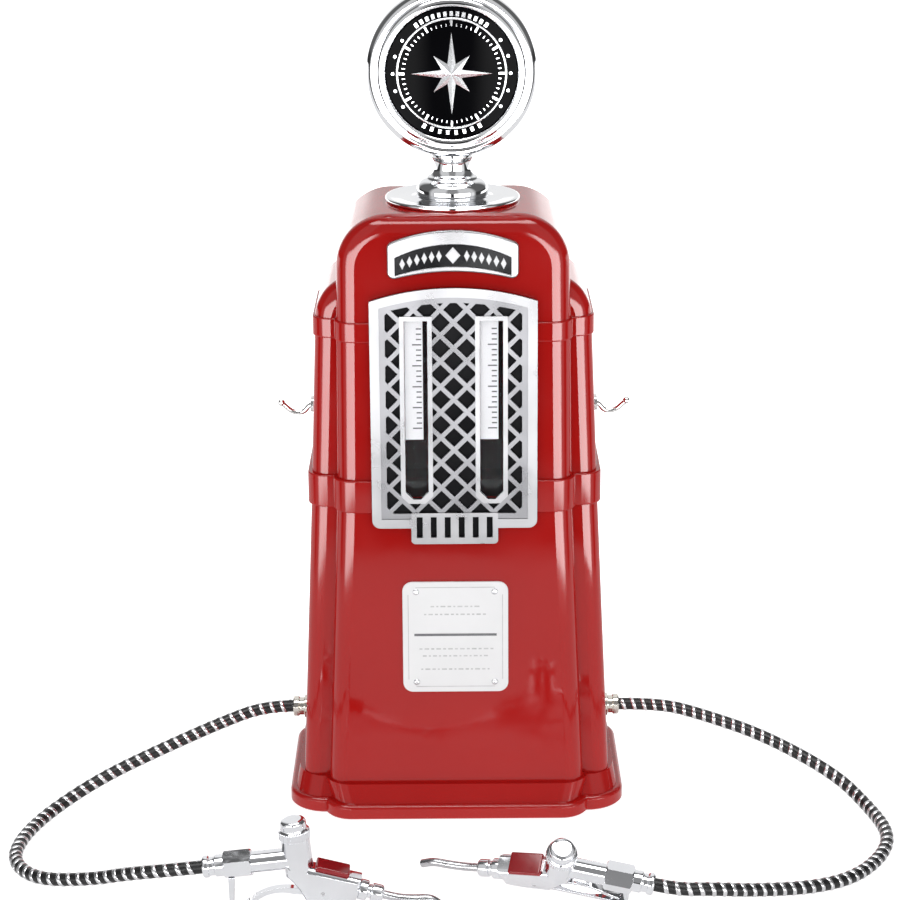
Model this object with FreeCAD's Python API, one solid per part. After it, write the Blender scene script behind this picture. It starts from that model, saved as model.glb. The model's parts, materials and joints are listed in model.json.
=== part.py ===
import FreeCAD, Part
import math
import os

# Table-top drinks dispenser in the shape of an old fuel pump: two tanks in one cabinet, two hoses,
# two trigger nozzles. Millimetres, +Z up, front towards -Y, origin on the floor under the cabinet.

V = FreeCAD.Vector
X_DIR = V(1, 0, 0)
Y_DIR = V(0, 1, 0)
Z_DIR = V(0, 0, 1)
SIDES = (("left", -1), ("right", 1))

# ---- Cabinet: driving dimensions -------------------------------------------------------------
CABINET_H = 373.5         # top of the front tier's arch above the floor
CABINET_HALF = 95.8       # half width of the side tier at the floor
WAIST_Z = 204.0           # height at which the drafted lower half meets the upper half
TIER_INSET = 16.4         # the front tier is narrower on each side by this much
TIER_DROP = 38.5          # the side tier's arch tops out lower by this much
SEAM_Y = -7.0             # plane where the two cabinet shells meet, also the plane of the head's axis
WALL = 3.0                # moulded wall of the cabinet
ARCH_STEP = 0.4           # the wall above the waist is thicker by this much
FIT = 0.3                 # gap between loose pieces that face each other


class Block:
    """One arched tier of the cabinet: half widths and face places at the foot, the waist and the top."""

    def __init__(self, halves, fronts, rears, top_z, arch_r, edge_r):
        self.foot_half, self.waist_half, self.shoulder_half = halves
        self.front_foot, self.front_waist = fronts
        self.rear_foot, self.rear_waist = rears
        self.top_z = top_z
        self.arch_r = arch_r
        self.edge_r = edge_r

    def face_y(self, z, front):
        """Y of the front or rear face at height z: drafted up to the waist, upright above it."""
        low = min(z, WAIST_Z)
        if front:
            return -slope(low, 0.0, self.front_foot, WAIST_Z, self.front_waist)
        return slope(low, 0.0, self.rear_foot, WAIST_Z, self.rear_waist)

    def half_at(self, z):
        """Half width of the straight sides at height z."""
        if z < WAIST_Z:
            return slope(z, 0.0, self.foot_half, WAIST_Z, self.waist_half)
        return slope(z, WAIST_Z, self.waist_half, self.top_z - self.arch_r, self.shoulder_half)


def slope(z, z0, a0, z1, a1):
    """Value at z on the straight line through (z0, a0) and (z1, a1)."""
    return a0 + (a1 - a0) * (z - z0) / (z1 - z0)


PANEL_HALF = CABINET_HALF - TIER_INSET
PANEL = Block((PANEL_HALF, PANEL_HALF - 8.9, PANEL_HALF - 10.6), (67.8, 59.5), (57.0, 47.0),
              CABINET_H, 31.0, 11.0)
SIDE = Block((CABINET_HALF, CABINET_HALF - 9.2, CABINET_HALF - 13.2), (54.5, 46.5), (45.0, 35.0),
             CABINET_H - TIER_DROP, 27.0, 10.0)

# Belts round both tiers (low edge, high edge, how far they stand out), and the foot moulding
UPPER_BELT = (CABINET_H - 75.0, CABINET_H - 63.0, 1.3)
LOWER_BELT = (WAIST_Z - 10.5, WAIST_Z + 9.5, 2.3)
BELT_EDGE_R = 0.9         # rounding of the belts' edges
RIM_Z0 = 1.0              # the rim clears the floor by this much, the foot ring carries the weight
BEAD_H = 10.0             # round bead at the foot of the moulding
BEAD_R = 2.6              # rounding of the bead's top edge
BEAD_LEDGE = 0.7          # flat left on the bead outside the slope above it
MOULDING_H = 20.5         # top of the moulding, where the cabinet steps in
MOULDING_STEP = 3.2       # how far the moulding's top stands out from the cabinet
RIM_PANEL = (PANEL_HALF + 2.1, 79.5, 68.0, 17.0)      # half width, front, rear, corner radius
RIM_SIDE = (CABINET_HALF + 7.9, 68.0, 58.0, 23.0)

# Head: lift-off flange, stem and globe
LID_HOLE_R = 33.0
FLANGE_R = 40.5
FLANGE_RIM_H = 3.2
SPIGOT_H = 6.0
STEM_BASE_Z = CABINET_H + 3.0
GLOBE_Z = CABINET_H + 77.5
GLOBE_R = 51.0
GLOBE_HALF_DEPTH = 11.0
FACE_R = 38.5
STEM_NECK_R = 11.4
STEM_COLLAR_R = 21.6

# Front trim
GRILLE_SEAT_Y = -PANEL.front_waist
BACKING_T = 1.5
GRILLE_T = 2.6
GRILLE_HALF = 49.4
GRILLE_BOTTOM_Z = WAIST_Z - 19.5
GRILLE_CORNER_Z = CABINET_H - 49.5
GRILLE_CROWN_Z = CABINET_H - 41.5
GRILLE_CORNER_R = 5.0
GRILLE_RAIL = 5.6         # raised rail round the grille
GRILLE_LEDGE = 3.4        # lower ledge inside the rail
LATTICE_SINK = 0.8        # bars and ledge lie behind the rail's face by this much
LATTICE_PITCH = 15.6
LATTICE_BAR = 2.7
LATTICE_Z = CABINET_H - 124.7             # where two bars cross on the centre line
TAB_HALF = 26.0
TAB_BOTTOM_Z = WAIST_Z - 29.5
TAB_TOP_Z = WAIST_Z - 10.0
TAB_SLOTS = 6
TAB_SLOT_W = 3.6
TAB_SLOT_PITCH = 8.4
TAB_SLOT_Z = (WAIST_Z - 25.5, WAIST_Z - 12.5)
WINDOW_X = 22.3
WINDOW_HALF = 9.6
WINDOW_FRAME = 2.7
WINDOW_Z = (WAIST_Z - 4.0, CABINET_H - 58.5)
LENS_T = 1.2
SCALE_T = 0.5
SCALE_LOW_Z = WINDOW_Z[0] + 39.0

NAME_HALF = 38.4
NAME_LOW_Z = CABINET_H - 37.5
NAME_LOW_RISE = 5.3
NAME_HIGH_Z = CABINET_H - 15.5
NAME_HIGH_RISE = 8.0
NAME_CORNER_R = 4.0
NAME_T = 2.6
NAME_RAIL = (4.4, 3.2, 8.4)               # rail width at the sides, bottom and top

PLATE_HALF = 32.0
PLATE_H = 70.0
PLATE_MID_Z = WAIST_Z - 89.0
PLATE_CORNER_R = 6.0
PLATE_T = 1.4
RIVET_R = 2.0
RIVET_INSET = 8.2

# Tanks and the way out
TANK_T = 1.8
TANK_GAP = 3.5            # from the middle of the cabinet to each tank
TANK_W = PANEL.shoulder_half - 10.8
TANK_Y = (-52.0, 33.0)
TANK_Z = (WAIST_Z - 16.0, CABINET_H - 45.5)
TANK_CORNER_R = 9.0
NECK_X = 17.0
NECK_R = 13.0
NECK_TOP_Z = CABINET_H - 9.5
TANK_OUTLET_X = 34.0
NIPPLE_R = 3.2
NIPPLE_L = 12.0
LEDGE_T = 3.0
LEDGE_D = 14.0

OUTLET_Z = 46.0
OUTLET_Y = -5.0
FITTING_R = 5.0
FITTING_INNER_X = CABINET_HALF - 17.8
FERRULE_R = 6.4
FERRULE_END_X = CABINET_HALF + 7.7
NUT_T = 5.0
NUT_FLATS = 15.0
TUBE_R = 4.6
HOSE_R = 4.2

HOOK_Z = WAIST_Z + 42.0
HOOK_WIRE_R = 1.6
HOOK_BASE_R = 5.0
HOOK_BASE_T = 3.0

COVER_T = 2.5
COVER_Z = 2.0
FOOT_RING = (CABINET_HALF - 19.8, 60.0, 50.0, 12.0)    # half width, front, rear, corner radius
FOOT_RING_W = 10.0
FOOT_CHAMFER = 0.8
POST_R = 4.6
POST_H = 30.0
SCREW_R = 1.5
SCREW_HEAD_R = 2.9
SCREW_HEAD_H = 2.2
SHELL_SCREW_X = CABINET_HALF - 21.8
SHELL_SCREW_ZS = (WAIST_Z - 120.0, CABINET_H - 85.5)
SHELL_SCREW_L = 22.0
BASE_SCREW_XY = (CABINET_HALF - 13.8, 33.0)
BASE_SCREW_L = 14.0

# Nozzle, in its own frame: +X along the barrel to the spout, +Z up the bonnet, origin where they cross
BARREL_R = 6.1
HANDLE_END_X = -42.0
HANDLE_FLATS = 14.6
HANDLE_L = 16.0
NOZZLE_REAR_X = -54.0
HOSE_FERRULE_R = 6.3
BONNET_R = 8.2
BONNET_TOP_Z = 15.0
BONNET_BORE_R = 6.0
BONNET_BORE_Z = 0.0
CAP_SKIRT_R = 8.95
CAP_CROWN_R = 7.3
CAP_SKIRT_Z = 12.0
CAP_TOP_Z = 24.0
CAP_ROOF_T = 2.0
STEM_R = 2.2
STEM_CLEAR = 0.08
VALVE_HEAD_R = 5.5
VALVE_HEAD_T = 3.0
VALVE_SEAT_GAP = 0.3
PIVOT = (12.0, -21.0)
PIVOT_PIN_R = 1.2
PIVOT_CLEAR = 0.06
PIVOT_BOSS_R = 3.4
TRIGGER_W = 4.6
TRIGGER_SLOT = 5.6
TRIGGER_T = 3.0
TRIGGER_TOUCH_Z = -18.0   # where the trigger meets the stem, straight below the bonnet
TOUCH_GAP = 0.25
NOSE_HALF_W = 7.0
NOSE_DIP = 21.0           # spout's fall below the barrel, degrees
NOSE_START = (6.0, -5.0)  # where the nose's top line leaves the bonnet
NOSE_END = (31.8, -23.2)
NOSE_RISE = 8.0           # from the spout's axis to the nose's top
NOSE_DROP = 7.0           # from the spout's axis to its chin
COLLAR_L = 14.5
SPOUT_R = 2.4
SPOUT_BORE_R = 1.5
GUARD_W = 6.0
GUARD_T = 2.6
GUARD_LOW_Z = -31.5
NOZZLE_COVER_T = 2.6
NOZZLE_COVER_HALF = 6.6
NOZZLE_COVER_L = 19.5
SPRING_COIL_R = 3.9
SPRING_WIRE_R = 0.55
SPRING_TURNS = 5

# Where each nozzle lies: bonnet centre, then turn about Z, nose down, and roll, in degrees
NOZZLE_POSES = {
    "left": (V(-90.0, -201.0, 35.4), 0.0, -6.0, 0.0),
    "right": (V(57.8, -206.3, 32.0), 172.4, -9.6, -41.2),
}

# Hose ends: X of the outlet's end, straight run out of it, straight run into the nozzle
HOSE_ENDS = {"left": (-FERRULE_END_X, -18.2, 22.0), "right": (FERRULE_END_X, 27.3, 13.8)}
# Corners of each hose between those runs: it sags to the floor, turns round in front and lifts to the nozzle
HOSE_ROUTES = {
    "left": (
        (-149.2, -9.8, 37.1), (-184.8, -32.0, 28.9), (-220.3, -49.0, 17.6), (-249.9, -71.3, 5.4),
        (-262.8, -108.7, 4.4), (-262.9, -141.4, 4.3), (-244.1, -168.2, 6.3), (-211.6, -179.6, 11.8),
        (-188.3, -191.3, 21.0),
    ),
    "right": (
        (156.6, -13.3, 41.7), (193.8, -28.2, 33.7), (235.8, -50.5, 17.1), (253.2, -76.1, 6.5),
        (259.6, -115.0, 7.0), (253.0, -138.5, 4.4), (232.7, -167.6, 4.4), (205.3, -185.7, 6.6),
        (167.9, -202.3, 13.3), (142.0, -213.3, 20.0),
    ),
}


# ---- Small helpers ---------------------------------------------------------------------------
def box(x0, x1, y0, y1, z0, z1):
    return Part.makeBox(x1 - x0, y1 - y0, z1 - z0, V(x0, y0, z0))


def cylinder(radius, start, direction, length):
    return Part.makeCylinder(radius, length, start, direction)


def fuse(shapes):
    """One solid from several that touch, with the seams between coplanar faces removed."""
    whole = shapes[0].multiFuse(shapes[1:]) if len(shapes) > 1 else shapes[0]
    return whole.removeSplitter()


def mirror_x(shape):
    return shape.mirror(V(0, 0, 0), X_DIR)


def outline(points, closed=True):
    """Wire through straight runs and arcs: an item is a point, or a (mid, end) pair for an arc."""
    edges = []
    here = points[0]
    for item in points[1:]:
        if isinstance(item, tuple):
            mid, end = item
            edges.append(Part.Arc(here, mid, end).toShape())
            here = end
        else:
            edges.append(Part.LineSegment(here, item).toShape())
            here = item
    if closed and here.distanceToPoint(points[0]) > 1e-7:
        edges.append(Part.LineSegment(here, points[0]).toShape())
    return Part.Wire(edges)


def prism(points, along):
    """Solid from a closed outline pushed along a vector."""
    return Part.Face(outline(points)).extrude(along)


def quarter(centre, radius, start_deg, turn_deg, normal="y"):
    """Mid and end points of an arc about centre, in the XZ plane or the XY plane."""
    spots = []
    for part in (0.5, 1.0):
        angle = math.radians(start_deg + turn_deg * part)
        across = radius * math.cos(angle)
        up = radius * math.sin(angle)
        step = V(across, 0, up) if normal == "y" else V(across, up, 0)
        spots.append(centre + step)
    return tuple(spots)


def rounded_outline(half, front, rear, radius, z):
    """Outline points of a rounded rectangle at height z, wider in X than in Y."""
    centres = (
        (V(half - radius, rear - radius, z), 0),
        (V(-half + radius, rear - radius, z), 90),
        (V(-half + radius, -front + radius, z), 180),
        (V(half - radius, -front + radius, z), 270),
    )
    points = [V(half, rear - radius, z)]
    for centre, start in centres:
        if len(points) > 1:
            first = math.radians(start)
            points.append(centre + V(radius * math.cos(first), radius * math.sin(first), 0))
        points.append(quarter(centre, radius, start, 90, "z"))
    return points


def rounded_prism(half, front, rear, radius, z0, z1):
    return prism(rounded_outline(half, front, rear, radius, z0), V(0, 0, z1 - z0))


def revolve(profile, place, direction):
    """Solid turned from (radius, height) pairs; an item may be a pair of pairs for an arc."""
    def spot(pair):
        return V(pair[0], 0, pair[1])
    points = []
    for item in profile:
        if isinstance(item[0], tuple):
            points.append((spot(item[0]), spot(item[1])))
        else:
            points.append(spot(item))
    solid = Part.Face(outline(points)).revolve(V(0, 0, 0), Z_DIR, 360)
    solid.Placement = FreeCAD.Placement(place, FreeCAD.Rotation(Z_DIR, direction))
    return solid


def hexagon(flats, start, direction, length):
    """Hexagonal bar with its end corners turned down."""
    corner_r = flats / math.sqrt(3.0)
    points = []
    for step in range(6):
        angle = math.radians(60.0 * step)
        points.append(V(corner_r * math.cos(angle), corner_r * math.sin(angle), 0))
    bar = prism(points, V(0, 0, length))
    drop = corner_r - flats / 2.0
    chamfer = [(0, 0), (flats / 2.0, 0), (corner_r, drop), (corner_r, length - drop), (flats / 2.0, length),
               (0, length)]
    bar = bar.common(revolve(chamfer, V(0, 0, 0), Z_DIR))
    bar.Placement = FreeCAD.Placement(start, FreeCAD.Rotation(Z_DIR, direction))
    return bar


def route(points, radius_share=0.45):
    """Straight runs joined by tangent arcs, as large as the two runs at each point allow."""
    edges = []
    here = points[0]
    radii = []
    for before, corner, after in zip(points, points[1:], points[2:]):
        run_in = corner - before
        run_out = after - corner
        turn = run_in.getAngle(run_out)
        reach = radius_share * min(run_in.Length, run_out.Length)
        radii.append(reach / math.tan(turn / 2.0))
        unit_in = V(run_in).normalize()
        unit_out = V(run_out).normalize()
        start = corner - unit_in * reach
        end = corner + unit_out * reach
        centre_way = (unit_out - unit_in).normalize()
        centre = corner + centre_way * (radii[-1] / math.cos(turn / 2.0))
        middle = centre - centre_way * radii[-1]
        edges.append(Part.LineSegment(here, start).toShape())
        edges.append(Part.Arc(start, middle, end).toShape())
        here = end
    edges.append(Part.LineSegment(here, points[-1]).toShape())
    return Part.Wire(edges), radii


def tube(points, radius, bore=0.0):
    """Round bar or tube along a route."""
    path, radii = route(points)
    start_way = points[1] - points[0]
    ring = Part.Wire(Part.makeCircle(radius, points[0], start_way))
    bar = Part.Wire(path).makePipeShell([ring], True, False)
    if bore:
        hole_ring = Part.Wire(Part.makeCircle(bore, points[0], start_way))
        bar = bar.cut(Part.Wire(path).makePipeShell([hole_ring], True, False))
    return bar, path.Length, radii


def save(name, shape):
    shape.exportStep("parts/" + name + ".step")
    state = "valid" if shape.isValid() else "BAD"
    print(name, len(shape.Solids), "solid(s)", round(shape.Volume, 1), "mm3", state)


# ---- Cabinet ---------------------------------------------------------------------------------
def frustum(low, high, edge_r):
    """Block between two level rectangles (half width, front, rear, z), its leaning edges rounded."""
    half0, front0, rear0, z0 = low
    half1, front1, rear1, z1 = high
    wedge = Part.makeWedge(-half0, z0, -rear0, -rear1, -half1, half0, z1, front0, front1, half1)
    wedge.rotate(V(0, 0, 0), X_DIR, 90)
    leaning = [e for e in wedge.Edges if e.BoundBox.ZLength > 1e-3]
    return wedge.makeFillet(edge_r, leaning)


def tier_foot(block, inset, floor_z):
    """Drafted lower half of a tier, drawn in by inset."""
    low = (block.half_at(floor_z) - inset, -block.face_y(floor_z, True) - inset,
           block.face_y(floor_z, False) - inset, floor_z)
    high = (block.waist_half - inset, block.front_waist - inset, block.rear_waist - inset, WAIST_Z)
    return frustum(low, high, block.edge_r - inset)


def tier_arch(block, inset):
    """Upper half of a tier: upright front and rear, arched shoulders, every edge of both faces rounded."""
    waist = block.waist_half - inset
    front = block.front_waist - inset
    rear = block.rear_waist - inset
    arch_r = block.arch_r - inset
    shoulder_z = block.top_z - block.arch_r
    draft = math.atan2(block.waist_half - block.shoulder_half, shoulder_z - WAIST_Z)
    arch_x = block.shoulder_half - inset - arch_r / math.cos(draft)
    tangent_x = arch_x + arch_r * math.cos(draft)
    tangent_z = shoulder_z + arch_r * math.sin(draft)
    turn = math.degrees(draft) - 90.0
    front_view = [
        V(-waist, -front, WAIST_Z),
        V(-tangent_x, -front, tangent_z),
        quarter(V(-arch_x, -front, shoulder_z), arch_r, 90.0 - turn, turn),
        V(arch_x, -front, block.top_z - inset),
        quarter(V(arch_x, -front, shoulder_z), arch_r, 90.0, turn),
        V(waist, -front, WAIST_Z),
    ]
    arched = prism(front_view, V(0, front + rear, 0))
    return arched.makeFillet(block.edge_r - inset, face_edges(arched, front, rear))


def face_edges(solid, front, rear):
    """Edges round the upright front and rear faces, apart from their lower ones."""
    chosen = []
    for edge in solid.Edges:
        size = edge.BoundBox
        on_face = abs(size.YMax + front) < 1e-4 or abs(size.YMin - rear) < 1e-4
        if on_face and size.ZMax > WAIST_Z + 1e-3:
            chosen.append(edge)
    return chosen


def half_space(front):
    """Everything in front of the seam, or behind it."""
    reach = CABINET_HALF + 104.2
    top_z = CABINET_H + 26.5
    y0, y1 = (-200.0, SEAM_Y) if front else (SEAM_Y, 200.0)
    return box(-reach, reach, y0, y1, -10.0, top_z)


def belt(block, z0, z1, proud):
    """Raised band round one tier, its edges rounded."""
    mid_z = (z0 + z1) / 2.0
    half = block.half_at(mid_z) + proud
    front = -block.face_y(mid_z, True) + proud
    rear = block.face_y(mid_z, False) + proud
    band = rounded_prism(half, front, rear, block.edge_r + proud, z0, z1)
    return band.makeFillet(BELT_EDGE_R, level_edges(band))


def level_edges(solid):
    return [e for e in solid.Edges if e.BoundBox.ZLength < 1e-3]


def bead(rim):
    """Rounded bead along the foot of one tier."""
    half, front, rear, radius = rim
    band = rounded_prism(half, front, rear, radius, RIM_Z0, BEAD_H)
    upper = [e for e in band.Edges if e.BoundBox.ZMin > BEAD_H - 1e-3]
    lower = [e for e in band.Edges if e.BoundBox.ZMax < RIM_Z0 + 1e-3]
    return band.makeFillet(BEAD_R, upper).makeChamfer(1.0, lower)


def skirt(block, rim, drawn, step, low_z, top_z):
    """Slope from the rim, drawn in by drawn, up to a line that stands step out from the cabinet's face."""
    half, front, rear, radius = rim
    low = (half - drawn, front - drawn, rear - drawn, low_z)
    high = (block.half_at(top_z) + step, -block.face_y(top_z, True) + step,
            block.face_y(top_z, False) + step, top_z)
    return frustum(low, high, radius - drawn)


def cabinet():
    """The hollow red body in one piece, before the seam parts it."""
    outside = []
    inside = []
    for block, rim in ((PANEL, RIM_PANEL), (SIDE, RIM_SIDE)):
        outside += [tier_foot(block, 0.0, BEAD_H - BEAD_R), tier_arch(block, 0.0)]
        outside += [belt(block, *UPPER_BELT), belt(block, *LOWER_BELT)]
        outside.append(bead(rim))
        outside.append(skirt(block, rim, BEAD_R + BEAD_LEDGE, MOULDING_STEP, BEAD_H - 1.0, MOULDING_H))
        inside += [tier_foot(block, WALL, RIM_Z0 - 0.5), tier_arch(block, WALL + ARCH_STEP)]
        inside.append(skirt(block, rim, WALL, MOULDING_STEP - WALL, RIM_Z0 - 0.5, MOULDING_H - WALL))
    return fuse(outside).cut(fuse(inside))


def housing(shell, front):
    """One of the two red shells, with its shelf, posts and openings."""
    room = fuse([tier_foot(block, WALL / 2.0, RIM_Z0) for block in (PANEL, SIDE)])
    room = room.fuse(tier_arch(SIDE, WALL / 2.0))
    inside = [shape.common(room) for shape in [ledge(front)] + base_posts(front) + shell_posts(front)]
    half = fuse([shell.common(half_space(front))] + inside)
    return half.cut(Part.makeCompound(cabinet_cuts() + shell_screw_cuts(front) + base_pilot_holes()))


def ledge(front):
    """Shelf inside the front or rear wall that the tanks stand on."""
    low_z = TANK_Z[0] - LEDGE_T
    if front:
        return box(-60, 60, -PANEL.front_foot, TANK_Y[0] + LEDGE_D, low_z, TANK_Z[0])
    return box(-60, 60, TANK_Y[1] - LEDGE_D, PANEL.rear_foot, low_z, TANK_Z[0])


def base_posts(front):
    """Upright posts that take the bottom cover's screws, webbed to the side walls."""
    posts = []
    low_z = COVER_Z + COVER_T + FIT
    for x, y in base_corners():
        if (y < SEAM_Y) != front:
            continue
        out = math.copysign(15.0, x)
        web = box(min(x, x + out), max(x, x + out), y - 1.2, y + 1.2, low_z, low_z + POST_H)
        posts.append(cylinder(POST_R, V(x, y, low_z), Z_DIR, POST_H).fuse(web))
    return posts


def base_pilot_holes():
    return [cylinder(SCREW_R, V(x, y, COVER_Z), Z_DIR, BASE_SCREW_L + 2.0) for x, y in base_corners()]


def shell_screw_places():
    return [(side * SHELL_SCREW_X, z) for side in (-1, 1) for z in SHELL_SCREW_ZS]


def shell_posts(front):
    """Posts across the seam: the front ones take the thread, the rear ones the head."""
    way = -Y_DIR if front else Y_DIR
    return [cylinder(POST_R, V(x, SEAM_Y, z), way, 60.0) for x, z in shell_screw_places()]


def shell_screw_cuts(front):
    """Pilot holes in the front posts; through holes and deep counterbores in the rear ones."""
    cuts = []
    for x, z in shell_screw_places():
        if front:
            cuts.append(cylinder(SCREW_R, V(x, SEAM_Y, z), -Y_DIR, SHELL_SCREW_L / 2.0 + 2.0))
        else:
            head_y = SEAM_Y + SHELL_SCREW_L / 2.0
            cuts.append(cylinder(SCREW_R, V(x, SEAM_Y, z), Y_DIR, SHELL_SCREW_L))
            cuts.append(cylinder(SCREW_HEAD_R + FIT, V(x, head_y, z), Y_DIR, 60.0))
    return cuts


def wall_x(z):
    """Outer face of the side tier at height z."""
    return SIDE.half_at(z)


def cabinet_cuts():
    """Openings in the shell: filler hole, outlets, hook holes, window slots and the flat trim seat."""
    cuts = [cylinder(LID_HOLE_R, V(0, SEAM_Y, CABINET_H - 10), Z_DIR, 20)]
    start = FITTING_INNER_X - 8.0
    for _, sign in SIDES:
        way = V(sign, 0, 0)
        cuts.append(cylinder(FITTING_R, V(sign * start, OUTLET_Y, OUTLET_Z), way, 40))
        cuts.append(cylinder(HOOK_WIRE_R, V(sign * start, OUTLET_Y, HOOK_Z), way, 40))
        half = WINDOW_HALF - WINDOW_FRAME
        mid = sign * WINDOW_X
        cuts.append(box(mid - half, mid + half, -80, -50, WINDOW_Z[0] + 2, WINDOW_Z[1] - WINDOW_FRAME))
    seat = grille_outline(FIT)
    cuts.append(prism(place_items(seat, V(0, GRILLE_SEAT_Y - 30, 0)), V(0, 30, 0)))
    return cuts


def shift(item, step):
    """Move an outline item, a point or a (mid, end) pair."""
    if isinstance(item, tuple):
        return tuple(p + step for p in item)
    return item + step


def shell_screws():
    screws = []
    for x, z in shell_screw_places():
        head_y = SEAM_Y + SHELL_SCREW_L / 2.0
        shank = cylinder(SCREW_R, V(x, head_y, z), -Y_DIR, SHELL_SCREW_L)
        head = cylinder(SCREW_HEAD_R, V(x, head_y, z), Y_DIR, SCREW_HEAD_H)
        screws.append(fuse([shank, head]))
    return Part.makeCompound(screws)


# ---- Bottom cover ----------------------------------------------------------------------------
def base_corners():
    x, y = BASE_SCREW_XY
    return [(sign_x * x, SEAM_Y + sign_y * y) for sign_x in (-1, 1) for sign_y in (-1, 1)]


def bottom_cover():
    """Plate that closes the cabinet from below, sloping at its edge as the moulding does."""
    gap = WALL + FIT
    slab = box(-200, 200, -200, 200, COVER_Z, COVER_Z + COVER_T)
    plates = []
    for block, rim in ((PANEL, RIM_PANEL), (SIDE, RIM_SIDE)):
        room = skirt(block, rim, gap, MOULDING_STEP - gap, RIM_Z0 - 0.5, MOULDING_H - WALL)
        plates.append(room.common(slab))
    plate = fuse(plates)
    for x, y in base_corners():
        plate = plate.cut(cylinder(SCREW_R + 0.1, V(x, y, 0), Z_DIR, 10))
        plate = plate.cut(cylinder(SCREW_HEAD_R + FIT, V(x, y, 0), Z_DIR, COVER_Z + 1.0))
    return plate


def base_screws():
    screws = []
    for x, y in base_corners():
        head_z = COVER_Z + 1.0
        shank = cylinder(SCREW_R, V(x, y, head_z), Z_DIR, BASE_SCREW_L)
        head = cylinder(SCREW_HEAD_R, V(x, y, head_z), -Z_DIR, SCREW_HEAD_H)
        screws.append(fuse([shank, head]))
    return Part.makeCompound(screws)


def foot_ring():
    """One closed rubber ring under the cover, its lower edges chamfered."""
    half, front, rear, radius = FOOT_RING
    outer = rounded_prism(half, front, rear, radius, 0.0, COVER_Z)
    w = FOOT_RING_W
    ring = outer.cut(rounded_prism(half - w, front - w, rear - w, radius - w, -1.0, COVER_Z + 1.0))
    return ring.makeChamfer(FOOT_CHAMFER, [e for e in ring.Edges if e.BoundBox.ZMax < 1e-3])


# ---- Head ------------------------------------------------------------------------------------
def top_flange():
    """Dished disc that covers the filler hole, with a spigot that drops into it."""
    seat = CABINET_H
    spigot_r = LID_HOLE_R - FIT
    profile = [
        (0, seat),
        (spigot_r - 2.0, seat), (spigot_r - 2.0, seat - SPIGOT_H),
        (spigot_r, seat - SPIGOT_H), (spigot_r, seat),
        (FLANGE_R - 1.0, seat), (FLANGE_R, seat + 1.0), (FLANGE_R, seat + FLANGE_RIM_H - 1.0),
        (FLANGE_R - 1.0, seat + FLANGE_RIM_H), (FLANGE_R - 4.0, seat + FLANGE_RIM_H - 0.4),
        (STEM_COLLAR_R + 3.0, STEM_BASE_Z - 1.0), (STEM_COLLAR_R, STEM_BASE_Z), (0, STEM_BASE_Z),
    ]
    return revolve(profile, V(0, SEAM_Y, 0), Z_DIR)


def globe_stem():
    """Turned column between flange and globe: wide collar, cove, slim neck, saddle under the globe."""
    base = STEM_BASE_Z
    top = GLOBE_Z - GLOBE_R
    collar = STEM_COLLAR_R
    neck = STEM_NECK_R
    profile = [
        (0, base), (collar - 1.0, base), (collar, base + 1.0), (collar, base + 3.0),
        ((collar - 0.9, base + 6.6), (collar - 4.0, base + 9.6)),
        (neck + 3.6, base + 10.8),
        ((neck + 0.9, base + 12.6), (neck, base + 16.0)),
        (neck, base + 19.0), ((neck + 0.6, base + 21.8), (neck + 2.0, base + 24.0)),
        (neck + 2.0, top + 6.0), (0, top + 6.0),
    ]
    column = revolve(profile, V(0, SEAM_Y, 0), Z_DIR)
    drum = cylinder(GLOBE_R, V(0, SEAM_Y - 40, GLOBE_Z), Y_DIR, 80)
    return column.cut(drum)


def globe_bezel(sign):
    """Half of the globe's chrome drum: rolled outer edge and three steps down to the face."""
    radius = GLOBE_R
    depth = GLOBE_HALF_DEPTH
    profile = [
        (FACE_R - 1.5, 0), (radius, 0), (radius, depth - 4.0),
        ((radius - 1.17, depth - 1.17), (radius - 4.0, depth)),
        (radius - 5.0, depth), (radius - 5.0, depth + 1.4), (radius - 8.0, depth + 2.0),
        (radius - 8.0, depth + 3.2), (radius - 10.6, depth + 3.6), (radius - 10.6, depth + 4.4),
        (FACE_R, depth + 4.4), (FACE_R, depth + 1.6), (FACE_R - 1.5, depth + 1.6),
    ]
    return revolve(profile, V(0, SEAM_Y, GLOBE_Z), V(0, sign, 0))


def globe_face(sign):
    """Slightly domed disc held by the bezel."""
    seat = GLOBE_HALF_DEPTH + 1.6
    rim_r = FACE_R - FIT
    crown = 2.4
    sphere_r = (rim_r ** 2 + crown ** 2) / (2.0 * crown)
    half_r = rim_r / 2.0
    half_h = crown - (sphere_r - math.sqrt(sphere_r ** 2 - half_r ** 2))
    edge = seat + 1.0
    profile = [(0, seat), (rim_r, seat), (rim_r, edge), ((half_r, edge + half_h), (0, edge + crown))]
    return revolve(profile, V(0, SEAM_Y, GLOBE_Z), V(0, sign, 0))


# ---- Front trim ------------------------------------------------------------------------------
def grille_outline(grow):
    """Arched top, rounded lower corners and a narrower tab below, in the XZ plane."""
    half = GRILLE_HALF + grow
    low = GRILLE_BOTTOM_Z - grow
    corner = GRILLE_CORNER_R
    crown = V(0, 0, GRILLE_CROWN_Z + grow)
    tab = TAB_HALF + grow
    tab_low = TAB_BOTTOM_Z - grow
    tab_r = 2.5
    return [
        V(-half, 0, GRILLE_CORNER_Z + grow),
        (crown, V(half, 0, GRILLE_CORNER_Z + grow)),
        V(half, 0, low + corner),
        quarter(V(half - corner, 0, low + corner), corner, 0, -90),
        V(tab, 0, low),
        V(tab, 0, tab_low + tab_r),
        quarter(V(tab - tab_r, 0, tab_low + tab_r), tab_r, 0, -90),
        V(-tab + tab_r, 0, tab_low),
        quarter(V(-tab + tab_r, 0, tab_low + tab_r), tab_r, 270, -90),
        V(-tab, 0, low),
        V(-half + corner, 0, low),
        quarter(V(-half + corner, 0, low + corner), corner, 270, -90),
    ]


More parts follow.
